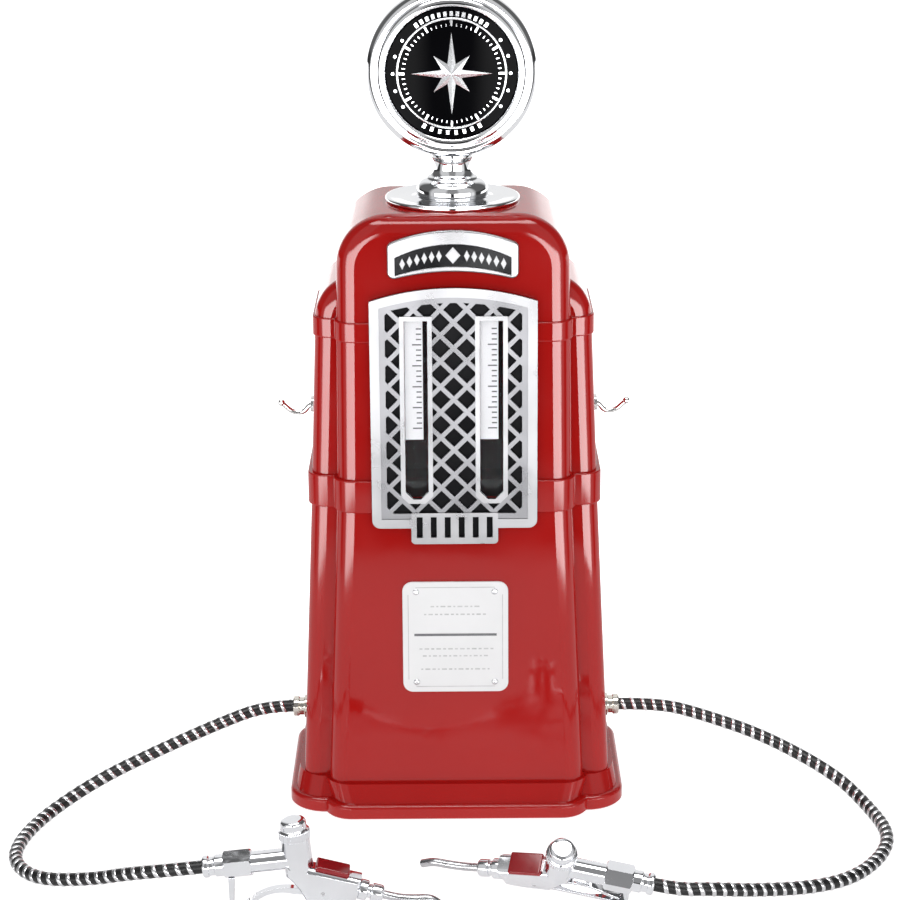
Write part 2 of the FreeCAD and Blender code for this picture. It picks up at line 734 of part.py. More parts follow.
def window_outline(grow):
    """Tall window with cut-off lower corners, centred on X = 0."""
    half = WINDOW_HALF + grow
    low, high = WINDOW_Z
    low -= grow
    high += grow
    cut = 4.6
    return [V(-half, 0, high), V(half, 0, high), V(half, 0, low + cut), V(half - cut, 0, low),
            V(-half + cut, 0, low), V(-half, 0, low + cut)]


def place_items(items, step):
    return [shift(item, step) for item in items]


def trim_prism(items, front_y, back_y):
    return prism(place_items(items, V(0, front_y, 0)), V(0, back_y - front_y, 0))


def grille():
    """Chrome frame with a diamond lattice, two window frames and a slotted tab, in one casting."""
    back_y = GRILLE_SEAT_Y - BACKING_T
    front_y = back_y - GRILLE_T
    low_y = front_y + LATTICE_SINK
    plate = trim_prism(grille_outline(0.0), front_y, back_y)
    rim = plate.cut(trim_prism(field_outline(0.0), front_y - 1, back_y + 1))
    field = trim_prism(field_outline(0.0), low_y, back_y)
    inner_ledge = field.cut(trim_prism(field_outline(GRILLE_LEDGE), front_y, back_y + 1))
    bars = field.common(lattice_bars(low_y, back_y)).fuse(inner_ledge)
    for _, sign in SIDES:
        centre = V(sign * WINDOW_X, 0, 0)
        frame = trim_prism(place_items(window_outline(0.0), centre), front_y, back_y)
        hole = trim_prism(place_items(window_outline(-WINDOW_FRAME), centre), front_y - 1, back_y + 1)
        bars = bars.fuse(frame).cut(hole)
    tab = box(-TAB_HALF, TAB_HALF, front_y, back_y, GRILLE_BOTTOM_Z, TAB_TOP_Z)
    casting = rim.multiFuse([bars, tab])
    slots = []
    for index in range(TAB_SLOTS):
        mid = (index - (TAB_SLOTS - 1) / 2.0) * TAB_SLOT_PITCH
        slots.append(box(mid - TAB_SLOT_W / 2, mid + TAB_SLOT_W / 2, front_y - 1, back_y + 1, *TAB_SLOT_Z))
    return casting.cut(Part.makeCompound(slots)).removeSplitter()


def field_outline(inset):
    """Inner edge of the grille's rail, drawn in by inset."""
    rail = GRILLE_RAIL + inset
    half = GRILLE_HALF - rail
    low = GRILLE_BOTTOM_Z + rail
    corner_z = GRILLE_CORNER_Z - rail * 0.7
    return [V(-half, 0, corner_z), (V(0, 0, GRILLE_CROWN_Z - rail), V(half, 0, corner_z)),
            V(half, 0, low), V(-half, 0, low)]


def lattice_bars(front_y, back_y):
    """Two sets of bars at 45 degrees that cross on the centre line."""
    bars = []
    reach = 1.5 * GRILLE_HALF
    first = math.floor((GRILLE_BOTTOM_Z - GRILLE_HALF - LATTICE_Z) / LATTICE_PITCH)
    last = math.ceil((GRILLE_CROWN_Z + GRILLE_HALF - LATTICE_Z) / LATTICE_PITCH)
    for turn in (45.0, -45.0):
        for step in range(first, last + 1):
            bar = box(-reach, reach, front_y, back_y, -LATTICE_BAR / 2.0, LATTICE_BAR / 2.0)
            bar.rotate(V(0, 0, 0), Y_DIR, turn)
            bar.translate(V(0, 0, LATTICE_Z + step * LATTICE_PITCH))
            bars.append(bar)
    return bars[0].multiFuse(bars[1:])


def grille_backing():
    """Dark sheet behind the lattice, cut away at the windows."""
    sheet = trim_prism(grille_outline(-0.6), GRILLE_SEAT_Y - BACKING_T, GRILLE_SEAT_Y)
    for _, sign in SIDES:
        centre = V(sign * WINDOW_X, 0, 0)
        hole = trim_prism(place_items(window_outline(-WINDOW_FRAME + FIT), centre), -80, -50)
        sheet = sheet.cut(hole)
    return sheet


def level_lens(sign):
    """Clear strip that fills the backing's window and is held by the edge of the grille's frame."""
    centre = V(sign * WINDOW_X, 0, 0)
    front_y = GRILLE_SEAT_Y - BACKING_T
    return trim_prism(place_items(window_outline(-WINDOW_FRAME + FIT), centre), front_y, front_y + LENS_T)


def level_scale(sign):
    """White strip behind the lens that carries the level marks."""
    half = WINDOW_HALF - WINDOW_FRAME - 0.2
    mid = sign * WINDOW_X
    front_y = GRILLE_SEAT_Y - BACKING_T + LENS_T
    return box(mid - half, mid + half - 2.6, front_y, front_y + SCALE_T, SCALE_LOW_Z,
               WINDOW_Z[1] - WINDOW_FRAME - 0.4)


def name_outline(grow_side, grow_low, grow_high):
    """Arched plaque: both long edges bow upwards."""
    half = NAME_HALF + grow_side
    low = NAME_LOW_Z - grow_low
    high = NAME_HIGH_Z + grow_high
    return [V(-half, 0, high), (V(0, 0, high + NAME_HIGH_RISE), V(half, 0, high)),
            V(half, 0, low), (V(0, 0, low + NAME_LOW_RISE), V(-half, 0, low))]


def name_plate():
    """Chrome surround with a window for the insert."""
    side, low, high = NAME_RAIL
    front_y = GRILLE_SEAT_Y - NAME_T
    surround = trim_prism(name_outline(0, 0, 0), front_y, GRILLE_SEAT_Y)
    upright = [e for e in surround.Edges if is_along_y(e)]
    surround = surround.makeFillet(NAME_CORNER_R, upright)
    rim = [e for e in surround.Edges if abs(e.BoundBox.YMax - front_y) < 1e-4]
    surround = surround.makeChamfer(0.7, rim)
    return surround.cut(trim_prism(name_outline(-side, -low, -high), front_y - 1, GRILLE_SEAT_Y - 0.8))


def is_along_y(edge):
    size = edge.BoundBox
    return size.YLength > 0.5 and size.XLength < 1e-4 and size.ZLength < 1e-4


def name_insert():
    """Dark strip that lies in the surround."""
    side, low, high = NAME_RAIL
    back_y = GRILLE_SEAT_Y - 0.8
    return trim_prism(name_outline(-side - 0.1, -low - 0.1, -high - 0.1), back_y - 0.8, back_y)


def lower_front_turn():
    """Angle of the drafted lower front face from upright, in degrees."""
    return math.degrees(math.atan2(PANEL.front_foot - PANEL.front_waist, WAIST_Z))


def on_lower_front(shape):
    """Stand a plate made about the origin on the drafted lower front face."""
    shape.rotate(V(0, 0, 0), X_DIR, -lower_front_turn())
    shape.translate(V(0, PANEL.face_y(PLATE_MID_Z, True), PLATE_MID_Z))
    return shape


def rivet_spots():
    x = PLATE_HALF - RIVET_INSET
    z = PLATE_H / 2.0 - RIVET_INSET + 2.0
    return [(sign_x * x, sign_z * z) for sign_x in (-1, 1) for sign_z in (-1, 1)]


def instruction_plate():
    half = PLATE_HALF
    tall = PLATE_H / 2.0
    r = PLATE_CORNER_R
    items = [V(half, 0, -tall + r), V(half, 0, tall - r), quarter(V(half - r, 0, tall - r), r, 0, 90),
             V(-half + r, 0, tall), quarter(V(-half + r, 0, tall - r), r, 90, 90),
             V(-half, 0, -tall + r), quarter(V(-half + r, 0, -tall + r), r, 180, 90),
             V(half - r, 0, -tall), quarter(V(half - r, 0, -tall + r), r, 270, 90)]
    plate = trim_prism(items, -PLATE_T, 0)
    for x, z in rivet_spots():
        plate = plate.cut(cylinder(RIVET_R * 0.6, V(x, -5, z), Y_DIR, 10))
    return on_lower_front(plate)


def plate_rivets():
    rivets = []
    shank_r = RIVET_R * 0.6
    for x, z in rivet_spots():
        profile = [(0, 0), (shank_r, 0), (shank_r, PLATE_T), (RIVET_R, PLATE_T),
                   ((RIVET_R * 0.75, PLATE_T + 0.8), (RIVET_R * 0.3, PLATE_T + 1.1)), (0, PLATE_T + 1.1)]
        rivets.append(revolve(profile, V(x, 0, z), -Y_DIR))
    return on_lower_front(Part.makeCompound(rivets))


# ---- Hooks -----------------------------------------------------------------------------------
def hook(sign):
    """Bent rod with a round foot: out from the wall, down, along and up to a rounded tip."""
    wall = wall_x(HOOK_Z)
    points = [V(wall - WALL - 2.0, OUTLET_Y, HOOK_Z), V(wall + 3.5, OUTLET_Y, HOOK_Z),
              V(wall + 7.5, OUTLET_Y, HOOK_Z - 5.5), V(wall + 14.5, OUTLET_Y, HOOK_Z - 5.0),
              V(wall + 21.0, OUTLET_Y, HOOK_Z + 1.0)]
    rod, _, _ = tube(points, HOOK_WIRE_R - 0.05)
    tip = Part.makeSphere(HOOK_WIRE_R + 0.6, points[-1])
    foot = cylinder(HOOK_BASE_R, V(wall, OUTLET_Y, HOOK_Z), X_DIR, HOOK_BASE_T)
    lean = math.degrees(math.atan2(SIDE.waist_half - SIDE.shoulder_half, SIDE.top_z - SIDE.arch_r - WAIST_Z))
    foot.rotate(V(wall, OUTLET_Y, HOOK_Z), Y_DIR, -lean)
    whole = fuse([rod, tip, foot])
    return whole if sign > 0 else mirror_x(whole)


# ---- Tanks and plumbing ----------------------------------------------------------------------
def tank(sign):
    """Blow-moulded tank with rounded edges, a filler neck above and an outlet nipple below."""
    x0 = TANK_GAP
    x1 = TANK_GAP + TANK_W
    outer = rounded_tank(x0, x1, 0.0)
    inner = rounded_tank(x0, x1, TANK_T)
    neck = cylinder(NECK_R, V(NECK_X, SEAM_Y, TANK_Z[1] - 2), Z_DIR, NECK_TOP_Z - TANK_Z[1] + 2)
    lip = cylinder(NECK_R + 1.0, V(NECK_X, SEAM_Y, NECK_TOP_Z - 2.5), Z_DIR, 2.5)
    throat = cylinder(NECK_R - TANK_T, V(NECK_X, SEAM_Y, TANK_Z[1] - 5), Z_DIR, 50)
    nipple = cylinder(NIPPLE_R, V(TANK_OUTLET_X, SEAM_Y, TANK_Z[0] - NIPPLE_L), Z_DIR, NIPPLE_L + 0.5)
    drain = cylinder(NIPPLE_R - 1.2, V(TANK_OUTLET_X, SEAM_Y, TANK_Z[0] - NIPPLE_L - 1), Z_DIR, NIPPLE_L + 5)
    whole = fuse([outer, neck, lip, nipple]).cut(inner).cut(throat).cut(drain)
    return whole if sign > 0 else mirror_x(whole)


def rounded_tank(x0, x1, inset):
    body = box(x0 + inset, x1 - inset, TANK_Y[0] + inset, TANK_Y[1] - inset,
               TANK_Z[0] + inset, TANK_Z[1] - inset)
    return body.makeFillet(TANK_CORNER_R - inset, body.Edges)


def outlet_fitting(sign):
    """Bulkhead fitting: barbed tail inside, thread through the wall, turned ferrule outside."""
    wall = wall_x(OUTLET_Z)
    start = FITTING_INNER_X
    length = FERRULE_END_X - start
    inner_face = wall - WALL - NUT_T - 1.0 - start
    outer_face = wall + 0.4 - start
    profile = [
        (0, 0), (NIPPLE_R - 0.4, 0), (NIPPLE_R, 2.0), (NIPPLE_R, inner_face), (FITTING_R - 0.1, inner_face),
        (FITTING_R - 0.1, outer_face), (FERRULE_R + 0.8, outer_face), (FERRULE_R + 0.8, outer_face + 2.0),
        (FERRULE_R - 0.8, outer_face + 2.6), (FERRULE_R - 0.8, length - 4.0), (FERRULE_R, length - 3.4),
        (FERRULE_R, length - 0.6), (FERRULE_R - 0.6, length), (0, length),
    ]
    solid = revolve(profile, V(start, OUTLET_Y, OUTLET_Z), X_DIR)
    return solid if sign > 0 else mirror_x(solid)


def outlet_nut(sign):
    wall = wall_x(OUTLET_Z)
    near = wall - WALL - 0.4 - NUT_T
    nut = hexagon(NUT_FLATS, V(near, OUTLET_Y, OUTLET_Z), X_DIR, NUT_T)
    nut = nut.cut(cylinder(FITTING_R, V(near - 5, OUTLET_Y, OUTLET_Z), X_DIR, 30))
    return nut if sign > 0 else mirror_x(nut)


def inner_tube(sign):
    """Soft tube from a tank's nipple down to the bulkhead fitting."""
    high_z = TANK_Z[0] - 1.0
    points = [V(TANK_OUTLET_X, SEAM_Y, high_z), V(TANK_OUTLET_X, SEAM_Y, high_z - 40),
              V(TANK_OUTLET_X + 3, SEAM_Y + 1, 100), V(TANK_OUTLET_X + 12, SEAM_Y + 1, 62),
              V(TANK_OUTLET_X + 28, OUTLET_Y, OUTLET_Z), V(FITTING_INNER_X + 4.5, OUTLET_Y, OUTLET_Z)]
    whole, length, radii = tube(points, TUBE_R, NIPPLE_R + 0.02)
    print("inner tube", round(length), "mm, bends", [round(r) for r in radii])
    return whole if sign > 0 else mirror_x(whole)


# ---- Nozzle ----------------------------------------------------------------------------------
def seat_nozzle(shape, side):
    """Carry a shape from the nozzle's own frame to where that nozzle lies."""
    place, turn, nose, roll = NOZZLE_POSES[side]
    shape = shape.copy()
    shape.Placement = FreeCAD.Placement(place, FreeCAD.Rotation(turn, nose, roll)).multiply(shape.Placement)
    return shape


def hose_ferrule():
    """Crimped sleeve between hose and handle."""
    start = NOZZLE_REAR_X
    length = HANDLE_END_X - start
    r = HOSE_FERRULE_R
    profile = [(0, 0), (r - 0.5, 0), (r, 0.8), (r, 3.2), (r - 0.9, 3.8), (r - 0.9, 6.6), (r, 7.2),
               (r, length), (0, length)]
    return revolve(profile, V(start, 0, 0), X_DIR)


def nose_point(distance, up=0.0):
    """Point along the spout's axis, measured from the nose's end; up is square to the axis."""
    dip = math.radians(NOSE_DIP)
    x = NOSE_END[0] + distance * math.cos(dip) + up * math.sin(dip)
    z = NOSE_END[1] - distance * math.sin(dip) + up * math.cos(dip)
    return V(x, 0, z)


def handle_end():
    return hexagon(HANDLE_FLATS, V(HANDLE_END_X, 0, 0), X_DIR, HANDLE_L)


def nozzle_body():
    """Casting: hexagonal handle end, round barrel, upright bonnet and a deep slotted nose."""
    handle = handle_end()
    barrel = cylinder(BARREL_R, V(HANDLE_END_X + 5, 0, 0), X_DIR, -HANDLE_END_X - 5)
    bonnet = cylinder(BONNET_R, V(0, 0, -10), Z_DIR, BONNET_TOP_Z + 10)
    head = nose_point(0, NOSE_RISE)
    chin = nose_point(0, -NOSE_DROP)
    side = [V(-7.5, -NOSE_HALF_W, -1), V(NOSE_START[0], -NOSE_HALF_W, NOSE_START[1]),
            V(head.x, -NOSE_HALF_W, head.z), V(chin.x, -NOSE_HALF_W, chin.z),
            (V(19, -NOSE_HALF_W, -29.6), V(8, -NOSE_HALF_W, -27.0)),
            V(2.0, -NOSE_HALF_W, -26.0), (V(-2.0, -NOSE_HALF_W, -17), V(-7.5, -NOSE_HALF_W, -9))]
    nose = prism(side, V(0, 2 * NOSE_HALF_W, 0))
    nose = nose.makeFillet(3.6, [e for e in nose.Edges if not is_along_y(e)])
    boss = cylinder(6.0, nose_point(-8.0), nose_point(1) - nose_point(0), 8.0)
    body = fuse([handle, barrel, bonnet, nose, boss])
    slot = TRIGGER_SLOT / 2.0
    cuts = [
        cylinder(BONNET_BORE_R, V(0, 0, BONNET_BORE_Z), Z_DIR, 30),
        cylinder(STEM_R + STEM_CLEAR, V(0, 0, -40), Z_DIR, 60),
        cylinder(PIVOT_PIN_R, V(PIVOT[0], -20, PIVOT[1]), Y_DIR, 40),
        box(-20, PIVOT[0] + PIVOT_BOSS_R + 1.2, -slot, slot, -40, TRIGGER_TOUCH_Z + 5.2),
    ]
    return body.cut(Part.makeCompound(cuts))


def bonnet_cap():
    """Screwed cap: a knurl-width skirt below a narrower crown, hollow for the spring."""
    r = CAP_SKIRT_R
    crown = CAP_CROWN_R
    profile = [
        (BONNET_R + 0.05, CAP_SKIRT_Z), (r, CAP_SKIRT_Z), (r, CAP_SKIRT_Z + 5.0), (crown, CAP_SKIRT_Z + 5.8),
        (crown, CAP_TOP_Z - 2.4), ((crown - 0.7, CAP_TOP_Z - 0.7), (crown - 2.4, CAP_TOP_Z)), (0, CAP_TOP_Z),
        (0, CAP_TOP_Z - CAP_ROOF_T), (BONNET_BORE_R, CAP_TOP_Z - CAP_ROOF_T), (BONNET_BORE_R, BONNET_TOP_Z),
        (BONNET_R + 0.05, BONNET_TOP_Z),
    ]
    return revolve(profile, V(0, 0, 0), Z_DIR)


def valve_stem():
    """Rod pushed up by the trigger, with the valve's head on its seat and a pin for the spring."""
    head_z = BONNET_BORE_Z + VALVE_SEAT_GAP
    tip = TRIGGER_TOUCH_Z + TOUCH_GAP
    profile = [(0, tip), (STEM_R - 0.8, tip + 0.3), (STEM_R, tip + 1.4), (STEM_R, head_z),
               (VALVE_HEAD_R, head_z), (VALVE_HEAD_R, head_z + VALVE_HEAD_T), (2.4, head_z + VALVE_HEAD_T),
               (2.4, head_z + 8.0), (0, head_z + 8.0)]
    return revolve(profile, V(0, 0, 0), Z_DIR)


def valve_spring():
    """Return spring between the valve's head and the cap's roof."""
    low = BONNET_BORE_Z + VALVE_SEAT_GAP + VALVE_HEAD_T + SPRING_WIRE_R
    high = CAP_TOP_Z - CAP_ROOF_T - SPRING_WIRE_R
    helix = Part.makeHelix((high - low) / SPRING_TURNS, high - low, SPRING_COIL_R)
    helix.translate(V(0, 0, low))
    ring = Part.Wire(Part.makeCircle(SPRING_WIRE_R, V(SPRING_COIL_R, 0, low), Y_DIR))
    return Part.Wire(helix.Edges).makePipeShell([ring], True, True)


def trigger():
    """Curved lever: round boss on its pin, a pad under the stem and a long arched finger blade."""
    px, pz = PIVOT
    y = -TRIGGER_W / 2.0
    touch = TRIGGER_TOUCH_Z
    top = [V(px, y, pz + PIVOT_BOSS_R), V(3.0, y, touch), V(-4.0, y, touch),
           (V(-17.0, y, -17.2), V(-27.0, y, -20.5)), (V(-33.0, y, -24.2), V(-37.0, y, -25.5))]
    low = [V(-37.0, y, -27.6), (V(-31.0, y, -26.2), V(-25.0, y, -22.8)),
           (V(-17.0, y, -20.0), V(-5.0, y, -21.6)), V(px, y, pz - PIVOT_BOSS_R)]
    blade = prism(top + low, V(0, TRIGGER_W, 0))
    boss = cylinder(PIVOT_BOSS_R, V(px, y, pz), Y_DIR, TRIGGER_W)
    return fuse([blade, boss]).cut(cylinder(PIVOT_PIN_R + PIVOT_CLEAR, V(px, -20, pz), Y_DIR, 40))


def trigger_pin():
    """Pin pressed through the nose, flush with its sides."""
    return cylinder(PIVOT_PIN_R, V(PIVOT[0], -NOSE_HALF_W, PIVOT[1]), Y_DIR, 2 * NOSE_HALF_W)


def trigger_guard():
    """Bent strap from under the handle, down, forward and up to the chin of the nose."""
    y = -GUARD_W / 2.0
    t = GUARD_T
    low = GUARD_LOW_Z
    top_z = -HANDLE_FLATS / 2.0
    outer = [V(-40.5, y, top_z), V(-42.0, y, low + 6), (V(-40.6, y, low + 1.8), V(-36.5, y, low)),
             V(2.0, y, low), (V(6.2, y, low + 0.8), V(8.4, y, low + 3.2))]
    chin_z = -26.9
    inner = [V(8.4, y, chin_z), V(4.6, y, chin_z + 0.2), (V(2.4, y, low + t + 0.5), V(-0.5, y, low + t)),
             V(-35.5, y, low + t), (V(-38.2, y, low + t + 1.0), V(-39.2, y, low + 6 + t)),
             V(-36.8, y, top_z)]
    strap = prism(outer + inner, V(0, GUARD_W, 0))
    return strap.cut(nozzle_nose_solid()).cut(handle_end())


def nozzle_nose_solid():
    """The nose's outline alone, used to end the guard on its chin."""
    chin = nose_point(0, -NOSE_DROP)
    side = [V(chin.x, -10, chin.z), (V(19, -10, -29.6), V(8, -10, -27.0)), V(2.0, -10, -26.0),
            V(2.0, -10, -20), V(chin.x, -10, -20)]
    return prism(side, V(0, 20, 0))


def nozzle_cover():
    """Moulded saddle that lies on the nose's top in front of the bonnet."""
    half = NOZZLE_COVER_HALF
    head = nose_point(0, NOSE_RISE)
    fall = (head.z - NOSE_START[1]) / (head.x - NOSE_START[0])
    start_x = BONNET_R + 1.2
    pad = box(0, NOZZLE_COVER_L, -half, half, 0, NOZZLE_COVER_T)
    pad = pad.makeFillet(1.1, [e for e in pad.Edges if e.BoundBox.ZMax > NOZZLE_COVER_T - 1e-4])
    pad.rotate(V(0, 0, 0), Y_DIR, -math.degrees(math.atan(fall)))
    pad.translate(V(start_x, 0, NOSE_START[1] + fall * (start_x - NOSE_START[0]) + 0.05))
    return pad


def spout_collar():
    """Two turned rings that hold the spout in the nose."""
    profile = [(0, 0), (5.6, 0), (5.9, 0.5), (5.9, 4.8), (5.4, 5.3), (4.0, 5.3), (4.0, 7.4), (4.8, 7.4),
               (5.1, 7.9), (5.1, COLLAR_L - 1.4), (4.6, COLLAR_L - 0.6), (3.4, COLLAR_L), (0, COLLAR_L)]
    return revolve(profile, nose_point(0), nose_point(1) - nose_point(0))


def spout():
    """Thin tube that runs on from the collar and turns down at its tip."""
    points = [nose_point(COLLAR_L), nose_point(COLLAR_L + 9.0), nose_point(COLLAR_L + 18.0, 1.8),
              nose_point(COLLAR_L + 26.5, 4.6), nose_point(COLLAR_L + 34.5, 1.2)]
    whole, _, _ = tube(points, SPOUT_R, SPOUT_BORE_R)
    return whole


# ---- Hoses -----------------------------------------------------------------------------------
def hose_points(side):
    """Route of a hose: level out of its ferrule, down to the floor, round, and up into its nozzle."""
    place, turn, nose, roll = NOZZLE_POSES[side]
    frame = FreeCAD.Placement(place, FreeCAD.Rotation(turn, nose, roll))
    start, way_out, way_in = HOSE_ENDS[side]
    first = [V(start, OUTLET_Y, OUTLET_Z), V(start + way_out, OUTLET_Y, OUTLET_Z)]
    last = [frame.multVec(V(NOZZLE_REAR_X - way_in, 0, 0)), frame.multVec(V(NOZZLE_REAR_X, 0, 0))]
    return first + [V(*corner) for corner in HOSE_ROUTES[side]] + last


def hose(side):
    points = hose_points(side)
    whole, length, radii = tube(points, HOSE_R)
    share = whole.Volume / (math.pi * HOSE_R ** 2 * length)
    print("hose", side, round(length), "mm, volume share", round(share, 4), [round(r) for r in radii])
    return whole


# ---- Build -----------------------------------------------------------------------------------
def main():
    os.makedirs("parts", exist_ok=True)
    shell = cabinet()
    save("front_housing", housing(shell, True))
    save("rear_housing", housing(shell, False))
    save("shell_screws", shell_screws())
    save("bottom_cover", bottom_cover())
    save("base_screws", base_screws())
    save("foot_ring", foot_ring())
    save("top_flange", top_flange())
    save("globe_stem", globe_stem())
    save("globe_bezel_front", globe_bezel(-1))
    save("globe_bezel_rear", globe_bezel(1))
    save("globe_face_front", globe_face(-1))
    save("globe_face_rear", globe_face(1))
    save("grille", grille())
    save("grille_backing", grille_backing())
    save("name_plate", name_plate())
    save("name_insert", name_insert())
    save("instruction_plate", instruction_plate())
    save("plate_rivets", plate_rivets())
    for side, sign in SIDES:
        save("level_lens_" + side, level_lens(sign))
        save("level_scale_" + side, level_scale(sign))
        save("hook_" + side, hook(sign))
        save("tank_" + side, tank(sign))
        save("outlet_fitting_" + side, outlet_fitting(sign))
        save("inner_tube_" + side, inner_tube(sign))
        save("hose_" + side, hose(side))
    save("outlet_nuts", Part.makeCompound([outlet_nut(sign) for _, sign in SIDES]))
    pieces = {
        "hose_ferrule": hose_ferrule(), "nozzle_body": nozzle_body(), "bonnet_cap": bonnet_cap(),
        "valve_stem": valve_stem(), "valve_spring": valve_spring(), "trigger": trigger(),
        "trigger_guard": trigger_guard(), "nozzle_cover": nozzle_cover(), "spout_collar": spout_collar(),
        "spout": spout(),
    }
    for side, _ in SIDES:
        for name, piece in pieces.items():
            save(name + "_" + side, seat_nozzle(piece, side))
    pin = trigger_pin()
    save("trigger_pins", Part.makeCompound([seat_nozzle(pin, side) for side, _ in SIDES]))


main()
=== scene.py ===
# %% [markdown]
# # A table-top drinks dispenser in the shape of an old fuel pump
# The object is a glossy red cabinet of two arched tiers, with a round chrome head, a lattice
# grille with two level windows, and two hoses that end in small trigger nozzles. The solid model
# is loaded first as a fixed frame: every piece below takes its place from it.

# %% Load the solid model as the frame
import bmesh
import bpy
import json
import math
import numpy as np
from mathutils import Matrix


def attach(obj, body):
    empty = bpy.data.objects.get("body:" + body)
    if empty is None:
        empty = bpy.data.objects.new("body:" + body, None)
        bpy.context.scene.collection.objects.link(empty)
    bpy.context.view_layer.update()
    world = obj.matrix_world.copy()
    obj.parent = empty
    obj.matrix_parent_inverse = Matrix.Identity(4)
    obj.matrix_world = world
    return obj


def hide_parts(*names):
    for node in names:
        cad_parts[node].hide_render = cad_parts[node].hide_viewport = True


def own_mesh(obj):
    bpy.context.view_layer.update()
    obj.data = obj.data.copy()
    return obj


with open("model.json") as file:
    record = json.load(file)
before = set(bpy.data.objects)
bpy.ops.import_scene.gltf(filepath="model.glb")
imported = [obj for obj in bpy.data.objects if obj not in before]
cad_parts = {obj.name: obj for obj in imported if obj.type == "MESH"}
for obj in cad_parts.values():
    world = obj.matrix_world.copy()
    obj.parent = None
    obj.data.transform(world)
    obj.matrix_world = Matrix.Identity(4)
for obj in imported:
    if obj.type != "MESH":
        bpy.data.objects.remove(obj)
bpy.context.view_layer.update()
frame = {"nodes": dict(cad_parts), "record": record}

NODES = frame["nodes"]
BODY_OF = {node: body for body, members in frame["record"]["behaviour"]["bodies"].items()
           for node in members}
SLOT_OF = {row["node"]: row["material_slot"] for row in frame["record"]["subparts"]}
MM = 0.001
SIDES = ("left", "right")

# %% [markdown]
# ## Camera
# A short lens close by would make the tall cabinet seem to lean. A long lens from a little above
# keeps its upright lines nearly upright: 1.5 m away and 101 mm give that flat perspective. The
# camera is rolled by less than half a degree, as a hand-set tripod is.

# %% Place the camera
CAMERA_PLACE = (0.0, -1.5, 0.668)
CAMERA_DIP_DEG = 16.83
CAMERA_ROLL_DEG = -0.4
CAMERA_LENS = 101.0
CAMERA_SENSOR = 36.0
CAMERA_SHIFT_X = -0.0047
CAMERA_NEAR = 0.05

camera_data = bpy.data.cameras.new("camera")
camera_data.lens = CAMERA_LENS
camera_data.sensor_width = CAMERA_SENSOR
camera_data.shift_x = CAMERA_SHIFT_X
camera_data.clip_start = CAMERA_NEAR
camera = bpy.data.objects.new("camera", camera_data)
camera.location = CAMERA_PLACE
dip = Matrix.Rotation(math.radians(90.0 - CAMERA_DIP_DEG), 3, "X")
camera.rotation_euler = (dip @ Matrix.Rotation(math.radians(CAMERA_ROLL_DEG), 3, "Z")).to_euler()
bpy.context.scene.collection.objects.link(camera)
bpy.context.scene.camera = camera
print("camera looks down by", CAMERA_DIP_DEG, "degrees")

# %% [markdown]
# ## Small helpers for meshes
# Every new piece is a grid of points, worked out as whole numpy arrays, and handed to Blender in
# one go. The columns of a grid run in a loop, its rows may do so too, and open ends may be closed
# with one face each. Edges sharper than a set angle stay crisp while the rest is shaded as one
# smooth skin.

# %% A mesh from a grid of points
def make_object(name, mesh):
    """Link a mesh as an object at the origin."""
    piece = bpy.data.objects.new(name, mesh)
    bpy.context.scene.collection.objects.link(piece)
    return piece


def finish_mesh(mesh, sharp_deg):
    """Point the faces of a closed mesh outwards and keep only its sharp edges crisp."""
    shape = bmesh.new()
    shape.from_mesh(mesh)
    if shape.calc_volume(signed=True) < 0.0:
        bmesh.ops.reverse_faces(shape, faces=shape.faces)
        shape.to_mesh(mesh)
    shape.free()
    mesh.shade_smooth()
    mesh.set_sharp_from_angle(angle=math.radians(sharp_deg))
    mesh.update()


def grid_piece(name, points, loop_rows=False, cap_ends=False, sharp_deg=40.0):
    """Object from points of shape (rows, columns, 3) in metres, whose columns run in a loop."""
    rows, columns, _ = points.shape
    last_row = rows if loop_rows else rows - 1
    i, j = np.meshgrid(np.arange(last_row), np.arange(columns), indexing="ij")
    i_next = (i + 1) % rows
    j_next = (j + 1) % columns
    corners = ((i, j), (i_next, j), (i_next, j_next), (i, j_next))
    quads = np.stack([row * columns + column for row, column in corners], -1)
    faces = quads.reshape(-1, 4).tolist()
    if cap_ends:
        faces.append(list(range(columns)))
        faces.append((np.arange(columns)[::-1] + (rows - 1) * columns).tolist())
    mesh = bpy.data.meshes.new(name)
    mesh.from_pydata(points.reshape(-1, 3).tolist(), [], faces)
    finish_mesh(mesh, sharp_deg)
    return make_object(name, mesh)


def points_of(mesh):
    """The mesh's points as an array of shape (points, 3)."""
    points = np.empty(len(mesh.vertices) * 3)
    mesh.vertices.foreach_get("co", points)
    return points.reshape(-1, 3)


def full_turn(count):
    """Equal steps of angle round a full turn, without the last one that meets the first."""
    return np.linspace(0.0, 2.0 * np.pi, count, endpoint=False)


# %% [markdown]
# A new piece either stands for a node of the solid model, which it then hides, or adds a detail
# that no node has. Both are told which body they move with, and are kept in a list with the name
# of their finish, because the finishes are made last.

# %% Say what each new piece is
extra_pieces = {}


def stand_for(piece, node):
    """The piece takes over from a node: the same body and the same slot of finish."""
    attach(piece, BODY_OF[node])
    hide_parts(node)
    extra_pieces[piece.name] = (piece, SLOT_OF[node])


def add_to(piece, body, slot, finish_name):
    """A new detail that no node stands for: its body and the finish made for it below; slot is not
    used.
    """
    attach(piece, body)
    extra_pieces[piece.name] = (piece, finish_name)
